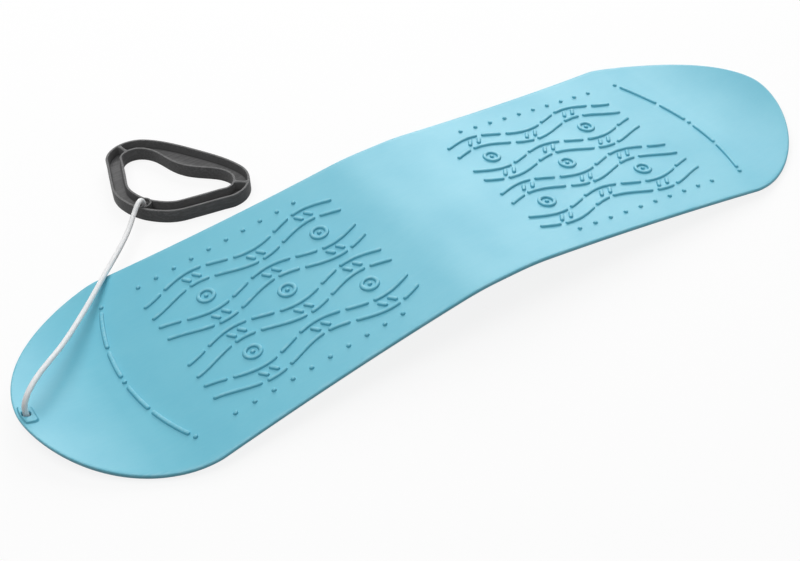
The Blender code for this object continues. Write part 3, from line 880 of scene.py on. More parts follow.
    def section(self) -> tuple[np.ndarray, np.ndarray]:
        """Half a rib's section: a small fillet, a steep flank and a superelliptic crown.

        The crown's distance is a power of the cosine, and its rise a power of the sine.

        Returns:
            Distances from the middle line, from the sunk foot inwards, and heights above the deck.
        """
        turn = np.linspace(self.crown_start, 1.0, self.crown_points) * math.pi / 2
        crown = (self.foot - self.crown_inset) * np.cos(turn) ** self.crown_width_power
        distance = [self.foot + np.array(self.flank), crown + self.ridge]
        crown_rise = self.height * np.sin(turn) ** self.crown_rise_power
        rise = [(-self.sunk, 0.0, self.flank_rise), crown_rise]
        return np.concatenate(distance), np.concatenate(rise)

    def ribs(self, line: np.ndarray) -> Surface:
        """Round-ended ribs along lines: outlines at set distances, each at its height.

        An outline runs beside the line, in a half circle round its end, back, and round again.

        Args:
            line: Middle lines, by rib and point.
        Returns:
            One closed surface for each rib, as one.
        """
        along = unit(np.gradient(line, axis=1))
        left = np.stack([-along[..., 1], along[..., 0]], axis=-1)
        distance, height = self.section()
        turn = np.linspace(-math.pi / 2, math.pi / 2, self.end_points)[1:-1, None]
        head = along[:, -1:] * np.cos(turn) + left[:, -1:] * np.sin(turn)
        tail = -along[:, :1] * np.cos(turn) - left[:, :1] * np.sin(turn)
        spine = np.concatenate([
            line, np.repeat(line[:, -1:], len(turn), axis=1),
            line[:, ::-1], np.repeat(line[:, :1], len(turn), axis=1),
        ], axis=1)
        outward = np.concatenate([-left, head, left[:, ::-1], tail], axis=1)
        return self.raised(spine[:, None] + outward[:, None] * distance[:, None, None], height)

    def turned(self, places: np.ndarray, radius: np.ndarray, height: np.ndarray) -> Surface:
        """Round marks: a profile of radii and heights turned about each place, set on the deck.

        Args:
            places: Centres of the marks.
            radius: Radii of the profile, outermost first.
            height: Heights above the deck at those radii.
        Returns:
            One closed surface for each mark, as one.
        """
        plan = places[:, None, None] + radius[:, None, None] * spokes(self.around)
        return self.raised(plan, height)

    def raised(self, plan: np.ndarray, height: np.ndarray) -> Surface:
        """Marks that stand on the deck as closed stacks of rings.

        Their wear is the cube of a ring's share of the full height, so it shows on the crowns; near
        the deck it is about 0, so the finish paints shade round the marks' feet.

        Args:
            plan: Points from above, by mark, ring and place round it.
            height: Heights of the rings above the deck.
        Returns:
            One closed surface for each mark, as one.
        """
        count, rings, around = plan.shape[:3]
        points = lifted(plan, self.form.deck_top(plan[..., 0], plan[..., 1]) + height[:, None])
        shift = (np.arange(count) * rings * around)[:, None, None]
        faces = [(part + shift).reshape(-1, part.shape[1]) for part in tube_faces(rings, around)]
        wear = np.clip(height / self.height, 0.0, 1.0)[:, None] ** 3
        return Surface(points, faces, wear)

    def surface(self) -> Surface:
        """The whole relief: the marks of one foot zone, and their mirror images in the other.

        Returns:
            The marks, as one surface.
        """
        arc_lines, arc_dots = self.arc()
        places = self.ring_places()
        lines = self.both_ends(self.lanes() + self.rungs() + arc_lines)
        dots = self.both_ends(self.edge_dots() + arc_dots + places)
        rings = self.both_ends(places)
        distance, height = self.section()
        middle = self.ring_diameter / 2 - self.foot
        ring_radius = np.concatenate([middle + distance, middle - distance[-2::-1]])
        ring_height = np.concatenate([height, height[-2::-1]])
        return Surface.joined([
            self.ribs(lines),
            self.turned(dots, distance + self.dot_extra, height),
            self.turned(rings, ring_radius, ring_height),
        ])


@dataclass
class RopeBoss:
    """The raised pad at the nose with the rope hole in it.

    edge is the way from the tip to the pad, bow how far its near corners stand back, and hole the
    hole's radius. The steps are shares of the way in over the shoulder, and from there to the hole.
    """

    form: BoardForm
    length: float = 11.5 * MM
    width: float = 20 * MM
    height: float = 1.6 * MM
    edge: float = 1.6 * MM
    corner: float = 3.6 * MM
    bow: float = 1.4 * MM
    hole: float = 3.45 * MM
    shoulder: float = 1.5 * MM
    lip: float = 0.35 * MM
    lip_drop: float = 0.1 * MM
    sunk: float = 0.6 * MM
    crown_wear: float = 0.6
    crown_share: float = 0.9
    shoulder_steps: tuple[float, ...] = (0.0, 0.12, 0.3, 0.5, 0.7, 0.88, 1.0)
    crown_steps: tuple[float, ...] = (0.25, 0.5, 0.75, 1.0)
    corner_points: int = 9
    near_points: int = 17
    around: int = 96

    def outline(self) -> np.ndarray:
        """The pad's foot: two round inner corners, and a near side that bows with the nose.

        The corners are quarter circles, and the near side is a parabola. Points at an even
        spacing are then averaged twice with their neighbours.

        Returns:
            Its points, anticlockwise, evenly spaced and then smoothed.
        """
        start = self.edge - self.form.tip
        end = start + self.length
        side = self.width / 2
        turn = np.linspace(-math.pi / 2, 0.0, self.corner_points)
        far_x = end - self.corner + self.corner * np.cos(turn)
        far_y = self.corner - side + self.corner * np.sin(turn)
        far = np.stack([far_x, far_y], axis=1)
        near_y = np.linspace(side, -side, self.near_points)
        near = np.stack([start + self.bow * (near_y / side) ** 2, near_y], axis=1)
        loop = np.vstack([far, far[::-1] * (1, -1), near])
        loop = even_points(np.vstack([loop, loop[:1]]), self.around + 1)[:-1]
        for _ in range(2):
            loop = (np.roll(loop, 1, axis=0) + 2 * loop + np.roll(loop, -1, axis=0)) / 4
        return loop

    def surface(self) -> Surface:
        """The pad: its smooth shoulder, its crown drawn in to the hole, and the hole's wall.

        The shoulder rises by smoothstep as it is drawn in, the crown goes over by even steps
        into a circle round the hole, and the wall stands plumb.

        Returns:
            The pad, closed down to under the deck's skin.
        """
        loop = self.outline()
        normal = inward(loop)
        share = np.array(self.shoulder_steps)
        insets = [-self.sunk / 2, *(self.shoulder * share)]
        rings = [loop + normal * inset for inset in insets]
        heights = [-self.sunk, *(self.height * smooth(share))]
        hole = (self.form.hole_x, 0.0)
        crown = rings[-1]
        spoke = unit(crown - hole)
        circle = spoke * self.hole + hole
        lip = spoke * (self.hole + self.lip) + hole
        rings += [crown + (lip - crown) * step for step in self.crown_steps]
        rings += [(lip + circle) / 2, circle, circle]
        heights += [self.height] * len(self.crown_steps)
        heights += [self.height - self.lip_drop, self.height - self.lip, -2.0 * self.sunk]
        plan, height = np.stack(rings), np.array(heights)[:, None]
        points = lifted(plan, self.form.deck_top(plan[..., 0], plan[..., 1]) + height)
        # Below the crown the wear is 0, so the finish paints shade on the shoulder and the hole's
        # wall.
        wear = (height > self.crown_share * self.height) * self.crown_wear
        return Surface(points, [tube_wall(len(rings), self.around, True)], wear)


@dataclass
class Deck:
    """The board's moulding: two skins, a rounded edge, running grooves, relief and rope boss.

    groove_places, groove_half, groove_wall and least_column are shares of the half width.
    """

    form: BoardForm
    finish: MouldedPlastic
    edge_round: float = 1.4 * MM
    sole_round: float = 1.0 * MM
    rows: int = 150
    columns: int = 60
    groove_places: tuple[float, ...] = (-0.36, 0.0, 0.36)
    groove_half: float = 0.030
    groove_wall: float = 0.015
    groove_depth: float = 1.0 * MM
    groove_end: float = 250 * MM
    groove_runout: float = 25 * MM
    edge_samples: int = 4000
    round_points: int = 5
    sole_columns: int = 33
    groove_columns: int = 6
    least_column: float = 0.0015
    hole_play: float = 0.05 * MM
    hole_sides: int = 48
    deck_wear: float = 0.12
    sole_wear: float = 0.5
    rim_wear: Pair = (0.3, 1.0)
    smooth_angle: float = 50.0

    def stations(self) -> np.ndarray:
        """Places from tip to tip, spaced evenly along the edge: a sine spacing, resampled.

        Returns:
            The places along the board.
        """
        x = self.form.tip * np.sin(np.linspace(0.0, math.pi / 2, self.edge_samples))
        edge = np.stack([x, self.form.half_width(x)], axis=1)
        quarter = even_points(edge, self.rows)[:, 0]
        return np.concatenate([-quarter[:0:-1], quarter])

    def groove(self, x: np.ndarray, share: np.ndarray) -> np.ndarray:
        """Depth of the running grooves: flat bottoms between smooth walls, run out at both ends.

        It is a smoothstep across the walls times a smoothstep along the run-out.

        Args:
            x: Places along the board.
            share: Places across it, as shares of its half width.
        Returns:
            The depths.
        """
        run = np.clip((self.groove_end - np.abs(x)) / self.groove_runout, 0.0, 1.0)
        beside = np.min([np.abs(share - place) for place in self.groove_places], axis=0)
        wall = np.clip((self.groove_half + self.groove_wall - beside) / self.groove_wall, 0.0, 1.0)
        return self.groove_depth * smooth(wall) * smooth(run)

    def sole_shares(self) -> np.ndarray:
        """Shares of the half width at the sole's columns, close together at the groove walls.

        They are an even spacing and the places on the walls, less those too near the one before.

        Returns:
            The shares, from one side to the other.
        """
        plain = np.linspace(-1.0, 1.0, self.sole_columns)[1:-1]
        wall = self.groove_half + self.groove_wall * np.linspace(0.0, 1.0, self.groove_columns)
        near = [place + side * wall for place in self.groove_places for side in (-1, 1)]
        shares = np.unique(np.round(np.concatenate([plain, *near]), 6))
        return shares[np.append(True, np.diff(shares) > self.least_column)]

    def rim(self, x: np.ndarray) -> tuple[np.ndarray, np.ndarray]:
        """The rounded edge: a loop round the board, drawn in and raised by quarter circles.

        Args:
            x: Places along the board, from tip to tip.
        Returns:
            The rings from the sole's rim up to the deck's rim, and their wear.
        """
        half = self.form.half_width(x)
        half[[0, -1]] = 0.0
        lower = np.stack([x, -half], axis=1)
        upper = np.stack([x[::-1], half[::-1]], axis=1)
        loop = np.vstack([lower, upper[1:-1]])
        normal = inward(loop)
        turn = np.linspace(0.0, math.pi / 2, self.round_points)
        sin, cos = np.sin(turn), np.cos(turn)
        low, high = self.sole_round, self.edge_round
        rings = []
        for skin, inset, rise in (
            (self.form.sole, low * (1 - sin), low * (1 - cos)),
            (self.form.deck_top, high * (1 - cos), high * (sin - 1)),
        ):
            plan = loop + normal * inset[:, None, None]
            rings.append(lifted(plan, skin(plan[..., 0], plan[..., 1]) + rise[:, None]))
        return np.concatenate(rings), np.repeat(self.rim_wear, len(turn) * len(loop))

    def shell(self) -> Surface:
        """The bare board: its edge, and rows across that fill the rims of the two skins.

        Each inner point stands at its skin's height, and the rows' ends are points of the rim.

        Returns:
            The board without its hole, relief and pad.
        """
        x = self.stations()
        rings, edge_wear = self.rim(x)
        count = rings.shape[1]
        tail = len(x) - 1
        rows = np.arange(1, tail)
        points, wear = [rings.reshape(-1, 3)], [edge_wear]
        faces = [tube_wall(len(rings), count, False)]
        top_shares = np.linspace(-1.0, 1.0, self.columns + 1)[1:-1]
        for ring, shares, on_deck in (
            (len(rings) - 1, top_shares, True),
            (0, self.sole_shares(), False),
        ):
            near, far = rings[ring, rows], rings[ring, count - rows]
            across = far[:, 1:2] * shares
            along = np.broadcast_to(near[:, :1], across.shape)
            plan = np.stack([along, across], axis=-1)
            if on_deck:
                z = self.form.deck_top(along, across)
            else:
                z = self.form.sole(along, across) + self.groove(along, shares)
            first = ring * count
            inner = sum(map(len, points)) + np.arange(across.size).reshape(across.shape)
            points.append(lifted(plan, z).reshape(-1, 3))
            wear.append(np.full(across.size, self.deck_wear if on_deck else self.sole_wear))
            index = np.column_stack([first + rows, inner, first + count - rows])
            a, b = index[:-1, :-1], index[1:, :-1]
            quads = np.stack([a, b, index[1:, 1:], index[:-1, 1:]], axis=-1)
            nose_tip = np.full(index.shape[1] - 1, first)
            nose = np.column_stack([nose_tip, index[0, :-1], index[0, 1:]])
            end = np.column_stack([index[-1, :-1], nose_tip + tail, index[-1, 1:]])
            for part in (quads.reshape(-1, 4), nose, end):
                faces.append(part if on_deck else part[:, ::-1])
        return Surface(np.vstack(points), faces, np.concatenate(wear))

    def build(self) -> bpy.types.Object:
        """Make the deck and let it stand for its solid.

        Returns:
            The deck.
        """
        boss = RopeBoss(self.form)
        hole = boss.hole + self.hole_play
        shell = drilled(self.shell(), (self.form.hole_x, 0.0), hole, self.hole_sides)
        surface = Surface.joined([shell, GripRelief(self.form).surface(), boss.surface()])
        piece = make_piece("board_deck", surface, self.finish.material(), self.smooth_angle)
        return dressed(piece, Body.BOARD, Slot.DECK, "deck")


# The pull handle


@dataclass
class PullHandle:
    """The moulded handle: a trough-shaped ring with two cross ribs and a well for the rope.

    A band is the ring's width, and widening is where the arms' band starts and ends to grow.
    fillets are the radii of the section's corners, from the foot to the floor. heading is the
    grip's direction from the well, as a turn from +X, and back its distance. half_edge is the
    outline's right half in mm, from the apex to the grip, with the well at the origin.
    """

    form: BoardForm
    finish: MouldedPlastic
    height: float = 12.6 * MM
    floor: float = 3.6 * MM
    wall: float = 2.0 * MM
    draft: float = 0.5 * MM
    arm_band: float = 14.2 * MM
    corner_band: float = 14.5 * MM
    grip_band: float = 25.0 * MM
    bulge: float = 50 * MM
    widening: Pair = (12 * MM, 45 * MM)
    fillets: tuple[float, float, float, float] = (0.6 * MM, 0.55 * MM, 0.4 * MM, 1.3 * MM)
    rib: float = 2.2 * MM
    rib_flare: Pair = (1.25, 1.75)
    flare_start: float = 0.3 * MM
    flare_reach: float = 1.2 * MM
    rib_foot: float = 1.35
    rib_crown: float = 0.7
    rib_below: float = 0.1 * MM
    rib_wear: float = 0.8
    rib_length_points: int = 17
    rib_crown_points: int = 9
    corner_slant: float = 0.35
    well_radius: float = 5.2 * MM
    well_wall: float = 1.6 * MM
    well_below: float = 0.15 * MM
    well_wear: float = 0.9
    soft: float = 0.45 * MM
    soft_share: float = 0.3
    foot_gap: float = 0.1 * MM
    pocket_gap: float = 0.05 * MM
    web: float = 1.5 * MM
    pocket: float = 8.0 * MM
    eye: float = 3.5 * MM
    well: Pair = (-0.1785, 0.1784)
    heading: float = math.radians(30.8)
    back: float = 83.0 * MM
    stations: int = 288
    around: int = 64
    smooth_angle: float = 38.0
    half_edge: tuple[Pair, ...] = (
        (0.0, -8.4), (20.0, -4.9), (33.0, 1.7), (46.0, 15.0), (59.6, 30.4),
        (67.6, 39.6), (70.6, 50.5), (67.6, 63.6), (57.5, 74.6), (38.0, 80.9),
    )

    @property
    def top(self) -> float:
        """Height of the rims."""
        return self.form.ground + self.height

    def placed(self, plan: np.ndarray) -> np.ndarray:
        """Turn points of the handle's own plan by its heading, and move them to its well."""
        sin, cos = math.sin(self.heading), math.cos(self.heading)
        return plan @ np.array([(sin, -cos), (cos, sin)]) + self.well

    def edge(self) -> np.ndarray:
        """The outer edge: a closed curve through the half outline and its mirror image.

        Returns:
            Its points, evenly spaced, anticlockwise from the apex in the handle's own plan.
        """
        right = np.array(self.half_edge) * MM
        left = right[:0:-1] * (-1, 1)
        return closed_curve(np.vstack([right, [(0.0, self.back)], left]), self.stations)

    def band(self, edge: np.ndarray) -> np.ndarray:
        """Width of the ring: arms that widen evenly, and a squared cosine more in the grip.

        Args:
            edge: Points of the outer edge.
        Returns:
            The width at each of them.
        """
        x, y = np.abs(edge[:, 0]), edge[:, 1]
        ring = np.interp(y, self.widening, (self.arm_band, self.corner_band))
        bulge = np.cos(0.5 * math.pi * np.clip(x / self.bulge, 0.0, 1.0)) ** 2
        return ring + (y > self.back / 2) * (self.grip_band - self.corner_band) * bulge

    @staticmethod
    def fillet(before: Pair, corner: Pair, after: Pair, radius: float, steps: int) -> np.ndarray:
        """An arc that rounds a corner, with its centre on the bisector of the two sides.

        The centre is away from the corner by the radius over the sine of half its angle.

        Args:
            before: A point on the side that leads to the corner.
            corner: The corner.
            after: A point on the side that leads away.
            radius: The arc's radius.
            steps: How many points to give back.
        Returns:
            The arc's points, spaced by equal angles.
        """
        corner = np.array(corner)
        to_before = unit(np.array(before) - corner)
        to_after = unit(np.array(after) - corner)
        half = math.acos(float(np.clip(to_before @ to_after, -1, 1))) / 2
        centre = corner + unit(to_before + to_after) * radius / math.sin(half)
        first = unit(corner + to_before * radius / math.tan(half) - centre)
        last = unit(corner + to_after * radius / math.tan(half) - centre)
        share = np.linspace(0.0, 1.0, steps)[:, None]
        sweep = math.acos(float(np.clip(first @ last, -1, 1)))
        arc = np.sin((1 - share) * sweep) * first + np.sin(share * sweep) * last
        return centre + arc * radius / math.sin(sweep)

    def section(self) -> tuple[np.ndarray, np.ndarray]:
        """Half the trough's section: a wall with rounded rims that drops to the floor by a fillet.

        Returns:
            Points (in from the edge, height), from the foot over the rim to the floor, and wear.
        """
        ground, far = self.form.ground, self.grip_band
        foot, rim, lip = (0.0, ground), (0.0, self.top), (self.wall, self.top)
        root = (self.wall + self.draft, ground + self.floor)
        corners = [
            ((far, ground), foot, rim, 4, (0.4, 0.4)),
            (foot, rim, (far, self.top), 6, (1.0, 1.0)),
            (rim, lip, root, 6, (0.9, 0.8)),
            # From the rim down the inner wall the wear falls to 0, so the finish paints shade into
            # the corner at the floor. The floor's 0.7 lets the rubbed colour lighten it in streaks:
            # partly wear, partly painted light standing for the light that falls on the floor from
            # above.
            (lip, root, (far, root[1]), 6, (0.0, 0.7)),
        ]
        points, wear = [], []
        for (*path, steps, worn), radius in zip(corners, self.fillets):
            points.append(self.fillet(*path, radius, steps))
            wear.append(np.linspace(*worn, steps))
        return np.vstack(points), np.concatenate(wear)

    def ring(self) -> Surface:
        """The ring: the half section at the outer edge, and its mirror image at the inner edge.

        Returns:
            The ring, without the hole for its well.
        """
        edge = self.edge()
        normal, band = inward(edge), self.band(edge)
        half, half_wear = self.section()
        share = np.concatenate([np.zeros(len(half)), np.ones(len(half))])
        shift = np.concatenate([half[:, 0], -half[::-1, 0]])
        z = np.concatenate([half[:, 1], half[::-1, 1]])
        offset = share[:, None] * band + shift[:, None]
        points = lifted(self.placed(edge + normal * offset[..., None]), z[:, None])
        wear = np.concatenate([half_wear, half_wear[::-1]])[:, None]
        return Surface(points, [tube_wall(len(z), len(edge), True)], wear)

    def cross_rib(self, side: int) -> Surface:
        """A rib across the trough at a corner, rounded on top and flared towards both walls.

        Its width grows by an exponential towards its ends.

        Args:
            side: -1 for the left corner, 1 for the right.
        Returns:
            The rib, its ends sunk into the two walls.
        """
        edge = self.edge()
        normal, band = inward(edge), self.band(edge)
        corner = int(np.argmax(side * edge[:, 0] + self.corner_slant * edge[:, 1]))
        ease = np.sin(np.linspace(-math.pi / 2, math.pi / 2, self.rib_length_points))
        reach = (band[corner] - self.wall) / 2
        along = band[corner] / 2 + reach * ease
        to_end = reach * (1.0 - np.abs(ease)) - self.flare_start
        middle, more = self.rib_flare
        flare = middle + more * np.exp(-to_end / self.flare_reach)
        spine = edge[corner] + normal[corner] * along[:, None]
        beside = np.array([normal[corner][1], -normal[corner][0]])
        half = self.rib / 2
        foot, crown = half * self.rib_foot, half * self.rib_crown
        low, high = self.form.ground + self.floor / 2, self.top - self.rib_below
        turn = np.linspace(0.0, math.pi, self.rib_crown_points)
        across = np.concatenate([[foot], half * np.cos(turn), [-foot]])
        z = np.concatenate([[low], high - crown + crown * np.sin(turn), [low]])
        plan = self.placed(spine[:, None] + beside * (flare[:, None] * across)[..., None])
        # The wear falls to 0 towards the rib's feet, where the finish paints shade.
        wear = np.clip((z - high) / half + 1.0, 0.0, 1.0) * self.rib_wear
        return Surface(lifted(plan, z), tube_faces(len(along), len(across)), wear)

    def sleeve(self) -> Surface:
        """The rope's well: a profile turned about its axis.

        It runs up the outside and down the bore, over the web with its eye, and out of the
        pocket underneath.

        Returns:
            The well.
        """
        ground, top, soft = self.form.ground, self.top - self.well_below, self.soft
        bore, outer, eye = self.well_radius, self.well_radius + self.well_wall, self.eye
        web_low = ground + self.pocket
        web_high = web_low + self.web
        cut = self.soft_share * soft
        radius_height = [
            (outer - soft, ground + self.foot_gap), (outer, ground + soft), (outer, top - soft),
            (outer - cut, top - cut), (outer - soft, top), (bore + soft, top),
            (bore + cut, top - cut), (bore, top - soft), (bore, web_high + soft),
            (bore - soft, web_high), (eye + soft, web_high), (eye, web_high - soft),
            (eye, web_low + soft), (eye + soft, web_low), (bore - soft, web_low),
            (bore, web_low - soft), (bore, ground + soft), (bore + soft, ground + self.pocket_gap),
        ]
        radius, height = np.array(radius_height).T
        plan = self.well + radius[:, None, None] * spokes(self.around)
        height = height[:, None]
        # Below the top the wear is 0, so the finish paints shade over the well's walls, web and
        # pocket.
        wear = (height > top - soft / 2) * self.well_wear
        faces = tube_wall(len(radius), self.around, True)
        return Surface(lifted(plan, height), [faces], wear)

    def build(self) -> bpy.types.Object:
        """Make the handle and let it stand for its solid.

        Returns:
            The handle.
        """
        through = self.well_radius + self.well_wall / 2
        ring = drilled(self.ring(), self.well, through, self.around)
        surface = Surface.joined([ring, self.cross_rib(-1), self.cross_rib(1), self.sleeve()])
        finish = self.finish.material()
        piece = make_piece("moulded_pull_handle", surface, finish, self.smooth_angle)
        return dressed(piece, Body.HANDLE, Slot.HANDLE, "pull_handle")


# The tow rope


@dataclass
class TowRope:
    """The braided rope from under the nose to the handle's pocket, with a knot at each end.

    lay is how far a strand runs in one turn, and knot_cord the knots' cord as a share of their
    width. A knot is told by its width and height. way is the open route in mm, as points along
    the photographed rope.
    """

    form: BoardForm
    handle: PullHandle
    finish: BraidedFibre
    diameter: float = 4.4 * MM
    strands: int = 8
    lay: float = 18.0 * MM
    strand_rise: float = 0.34 * MM
    strand_ease: float = 0.35
    points: int = 760
    around: int = 56
    seat_gap: float = 0.3 * MM
    knot_shoulder: float = 4.0 * MM
    knot_cord: float = 0.42
    knot_points: int = 160
    knot_around: int = 40
    knot_turns: Pair = (0.3, 1.1)
    smooth_angle: float = 60.0
    nose_knot: Pair = (9.6 * MM, 7.6 * MM)
    handle_knot: Pair = (9.5 * MM, 7.2 * MM)
    way: tuple[Triple, ...] = (
        (-353.1, 0.2, -12.9), (-351.6, 1.1, -9.1), (-348.7, 3.4, -6.2),
        (-345.0, 6.7, -4.7), (-339.8, 11.6, -4.2), (-332.4, 18.6, -4.9),
        (-322.6, 28.0, -7.4), (-304.9, 45.8, -12.9), (-275.6, 76.9, -18.6),
        (-247.2, 106.6, -20.4), (-222.0, 132.1, -21.4), (-205.6, 149.6, -20.9),
        (-194.3, 162.6, -18.2), (-188.5, 168.4, -16.1), (-184.9, 172.0, -15.6),
        (-181.8, 175.1, -16.9), (-179.4, 177.5, -20.4),
    )

    @property
    def nose_knot_top(self) -> float:
        """Height of the face on which the rope leaves its nose knot."""
        return float(self.form.sole(self.form.hole_x + self.knot_shoulder, 0.0)) - self.seat_gap

    @property
    def handle_knot_top(self) -> float:
        """Height of the face on which the rope ends in its handle knot."""
        return self.form.ground + self.handle.pocket - self.seat_gap

    def route(self) -> np.ndarray:
        """The route's own points, from the nose knot's face to the handle knot's face.

        Returns:
            The points, of which the first two and the last two stand plumb.
        """
        x = self.form.hole_x
        web = self.form.ground + self.handle.pocket
        boss = float(self.form.deck_line(x)) + RopeBoss(self.form).height
        nose = [(x, 0.0, self.nose_knot_top + self.seat_gap), (x, 0.0, boss)]
        well = [(*self.handle.well, web + self.handle.web), (*self.handle.well, web)]
        return np.vstack([nose, np.array(self.way) * MM, well])

    def centre_line(self, count: int) -> np.ndarray:
        """The rope's middle line: a Catmull-Rom curve through the route, with plumb ends.

        Args:
            count: How many points to give back.
        Returns:
            The points, evenly spaced.
        """
        route = self.route()
        dense = np.vstack([route[:1], catmull_rom(route, SPAN_POINTS), route[-2:]])
        return even_points(dense, count)

    def braid(self, around: np.ndarray, along: np.ndarray) -> np.ndarray:
        """Height of the braid over its core, from 0 in the hollows to 1 on the crowns.

        Two families of strands wind opposite ways, so turns times strands plus and minus the
        distance give each point its cell. In every cell one family lies on top: its height is
        half a circle across the strand, eased at both ends where it dives under.

        Args:
            around: Place round the cord, in turns.
            along: Place along the cord, in metres.
        Returns:
            The height at each point.
        """
        run = along * self.strands / self.lay
        first, second = around * self.strands + run, around * self.strands - run
        over = (np.floor(first) + np.floor(second)) % 2 == 0
        across = np.where(over, first % 1.0, second % 1.0)
        lengthwise = np.where(over, second % 1.0, first % 1.0)
        ease = np.sin(math.pi * lengthwise) ** self.strand_ease
        return np.sqrt(1.0 - (2.0 * across - 1.0) ** 2) * ease

    def cord(
        self, path: np.ndarray, diameter: float, around: int, side: np.ndarray, closed: bool
    ) -> Surface:
        """A braided cord along a path: rings of the braid's radius in planes across the path.

        Its UV map counts turns round the cord and, at the same scale, the way along it. Corners
        at the seams, where the count starts anew, take the place one lap further on.

        Args:
            path: The middle line.
            diameter: The cord's diameter over its crowns.
            around: Points round the cord.
            side: A direction that is never along the path, from which its rings are turned.
            closed: Whether the path joins up with itself.
        Returns:
            The cord, capped at its ends unless it is closed.
        """
        if closed:
            along = unit(np.roll(path, -1, axis=0) - np.roll(path, 1, axis=0))
        else:
            along = unit(np.gradient(path, axis=0))
        normal = unit(side - (along @ side)[:, None] * along)
        binormal = np.cross(along, normal)
        steps = np.linalg.norm(np.diff(path, axis=0), axis=1)
        run = np.concatenate([[0.0], np.cumsum(steps)])
        turn = np.arange(around) / around
        height = self.braid(turn[None, :], run[:, None] * self.diameter / diameter)
        radius = diameter / 2 - self.strand_rise * (1.0 - height) * diameter / self.diameter
        cos, sin = spokes(around).T[..., None]
        ring = cos * normal[:, None] + sin * binormal[:, None]
        points = path[:, None] + radius[..., None] * ring
        faces = [tube_wall(len(path), around, True)] if closed else tube_faces(len(path), around)
        row, column = faces[0] // around, faces[0] % around
        row_laps = (row == 0) * (row.max(axis=1, keepdims=True) > 1)
        column_laps = (column == 0) * (column.max(axis=1, keepdims=True) > 1)
        row_place = (run[row] + row_laps * run[-1]) / (math.pi * diameter)
        uv = [np.stack([column / around + column_laps, row_place], axis=-1)]
        uv += [np.zeros((*caps.shape, 2)) for caps in faces[1:]]
        return Surface(points, faces, height, uv)

    def knot(
        self, name: str, centre: Pair, top: float, size: Pair, turn: float
    ) -> bpy.types.Object:
        """A stopper knot drawn tight: a cord along a trefoil.

        The middle line is (sin t + 2 sin 2t, cos t - 2 cos 2t) / 3 of its reach, and it rises and
        falls with sin 3t.

        Args:
            name: The piece's name.
            centre: Its axis, from above.
            top: Height of its upper side.
            size: Its width and height.
            turn: How far its lobes are turned about its axis.
        Returns:
            The knot.
        """
        width, height = size
        thickness = self.knot_cord * width
        reach, rise = (width - thickness) / 2, (height - thickness) / 2
        t = np.linspace(0.0, 2.0 * math.pi, self.knot_points, endpoint=False)
        plan = np.stack([np.sin(t) + 2 * np.sin(2 * t), np.cos(t) - 2 * np.cos(2 * t)], axis=1)
        sin, cos = math.sin(turn), math.cos(turn)
        plan = centre + plan @ np.array([(cos, sin), (-sin, cos)]) * reach / 3
        path = lifted(plan, top - height / 2 - rise * np.sin(3 * t))
        surface = self.cord(path, thickness, self.knot_around, np.array([0.0, 0.0, 1.0]), True)
        return make_piece(name, surface, self.finish.material(), self.smooth_angle)

    def build(self) -> list[bpy.types.Object]:
        """Returns:
            The rope, the nose's knot and the handle's knot.
        """
        path = self.centre_line(self.points)
        side = np.array([math.sqrt(0.5), -math.sqrt(0.5), 0.0])
        cord = self.cord(path, self.diameter, self.around, side, False)
        rope = make_piece("braided_rope", cord, self.finish.material(), self.smooth_angle)
        dressed(rope, Body.TOW_ROPE, Slot.ROPE, "rope")
        hole, well = (self.form.hole_x, 0.0), self.handle.well
        nose_turn, inner_turn = self.knot_turns
        nose_top, pocket_top = self.nose_knot_top, self.handle_knot_top
        nose = self.knot("nose_stopper_knot", hole, nose_top, self.nose_knot, nose_turn)
        dressed(nose, Body.TOW_ROPE, Slot.ROPE, "nose_knot")
        inner = self.knot("handle_stopper_knot", well, pocket_top, self.handle_knot, inner_turn)
        dressed(inner, Body.TOW_ROPE, Slot.ROPE, "handle_knot")
        return [rope, nose, inner]


# The studio


@dataclass(frozen=True)
class Lamp:
    """A soft square lamp: where it stands, its side in metres and its power in watts."""

    name: str
    place: Triple
    size: float
    power: float

    def build(self, target: Vector) -> bpy.types.Object:
        """Put the lamp up and point it at a target.

        Args:
            target: The point that it faces.
        Returns:
            The lamp.
        """
        light = bpy.data.lights.new(self.name, "AREA")
        light.shape = "SQUARE"
        light.size = self.size
        light.energy = self.power
        lamp = bpy.data.objects.new(self.name, light)
        lamp.location = self.place
        lamp.rotation_mode = "QUATERNION"
        lamp.rotation_quaternion = (target - Vector(self.place)).to_track_quat("-Z", "Y")
        bpy.context.scene.collection.objects.link(lamp)
        return lamp


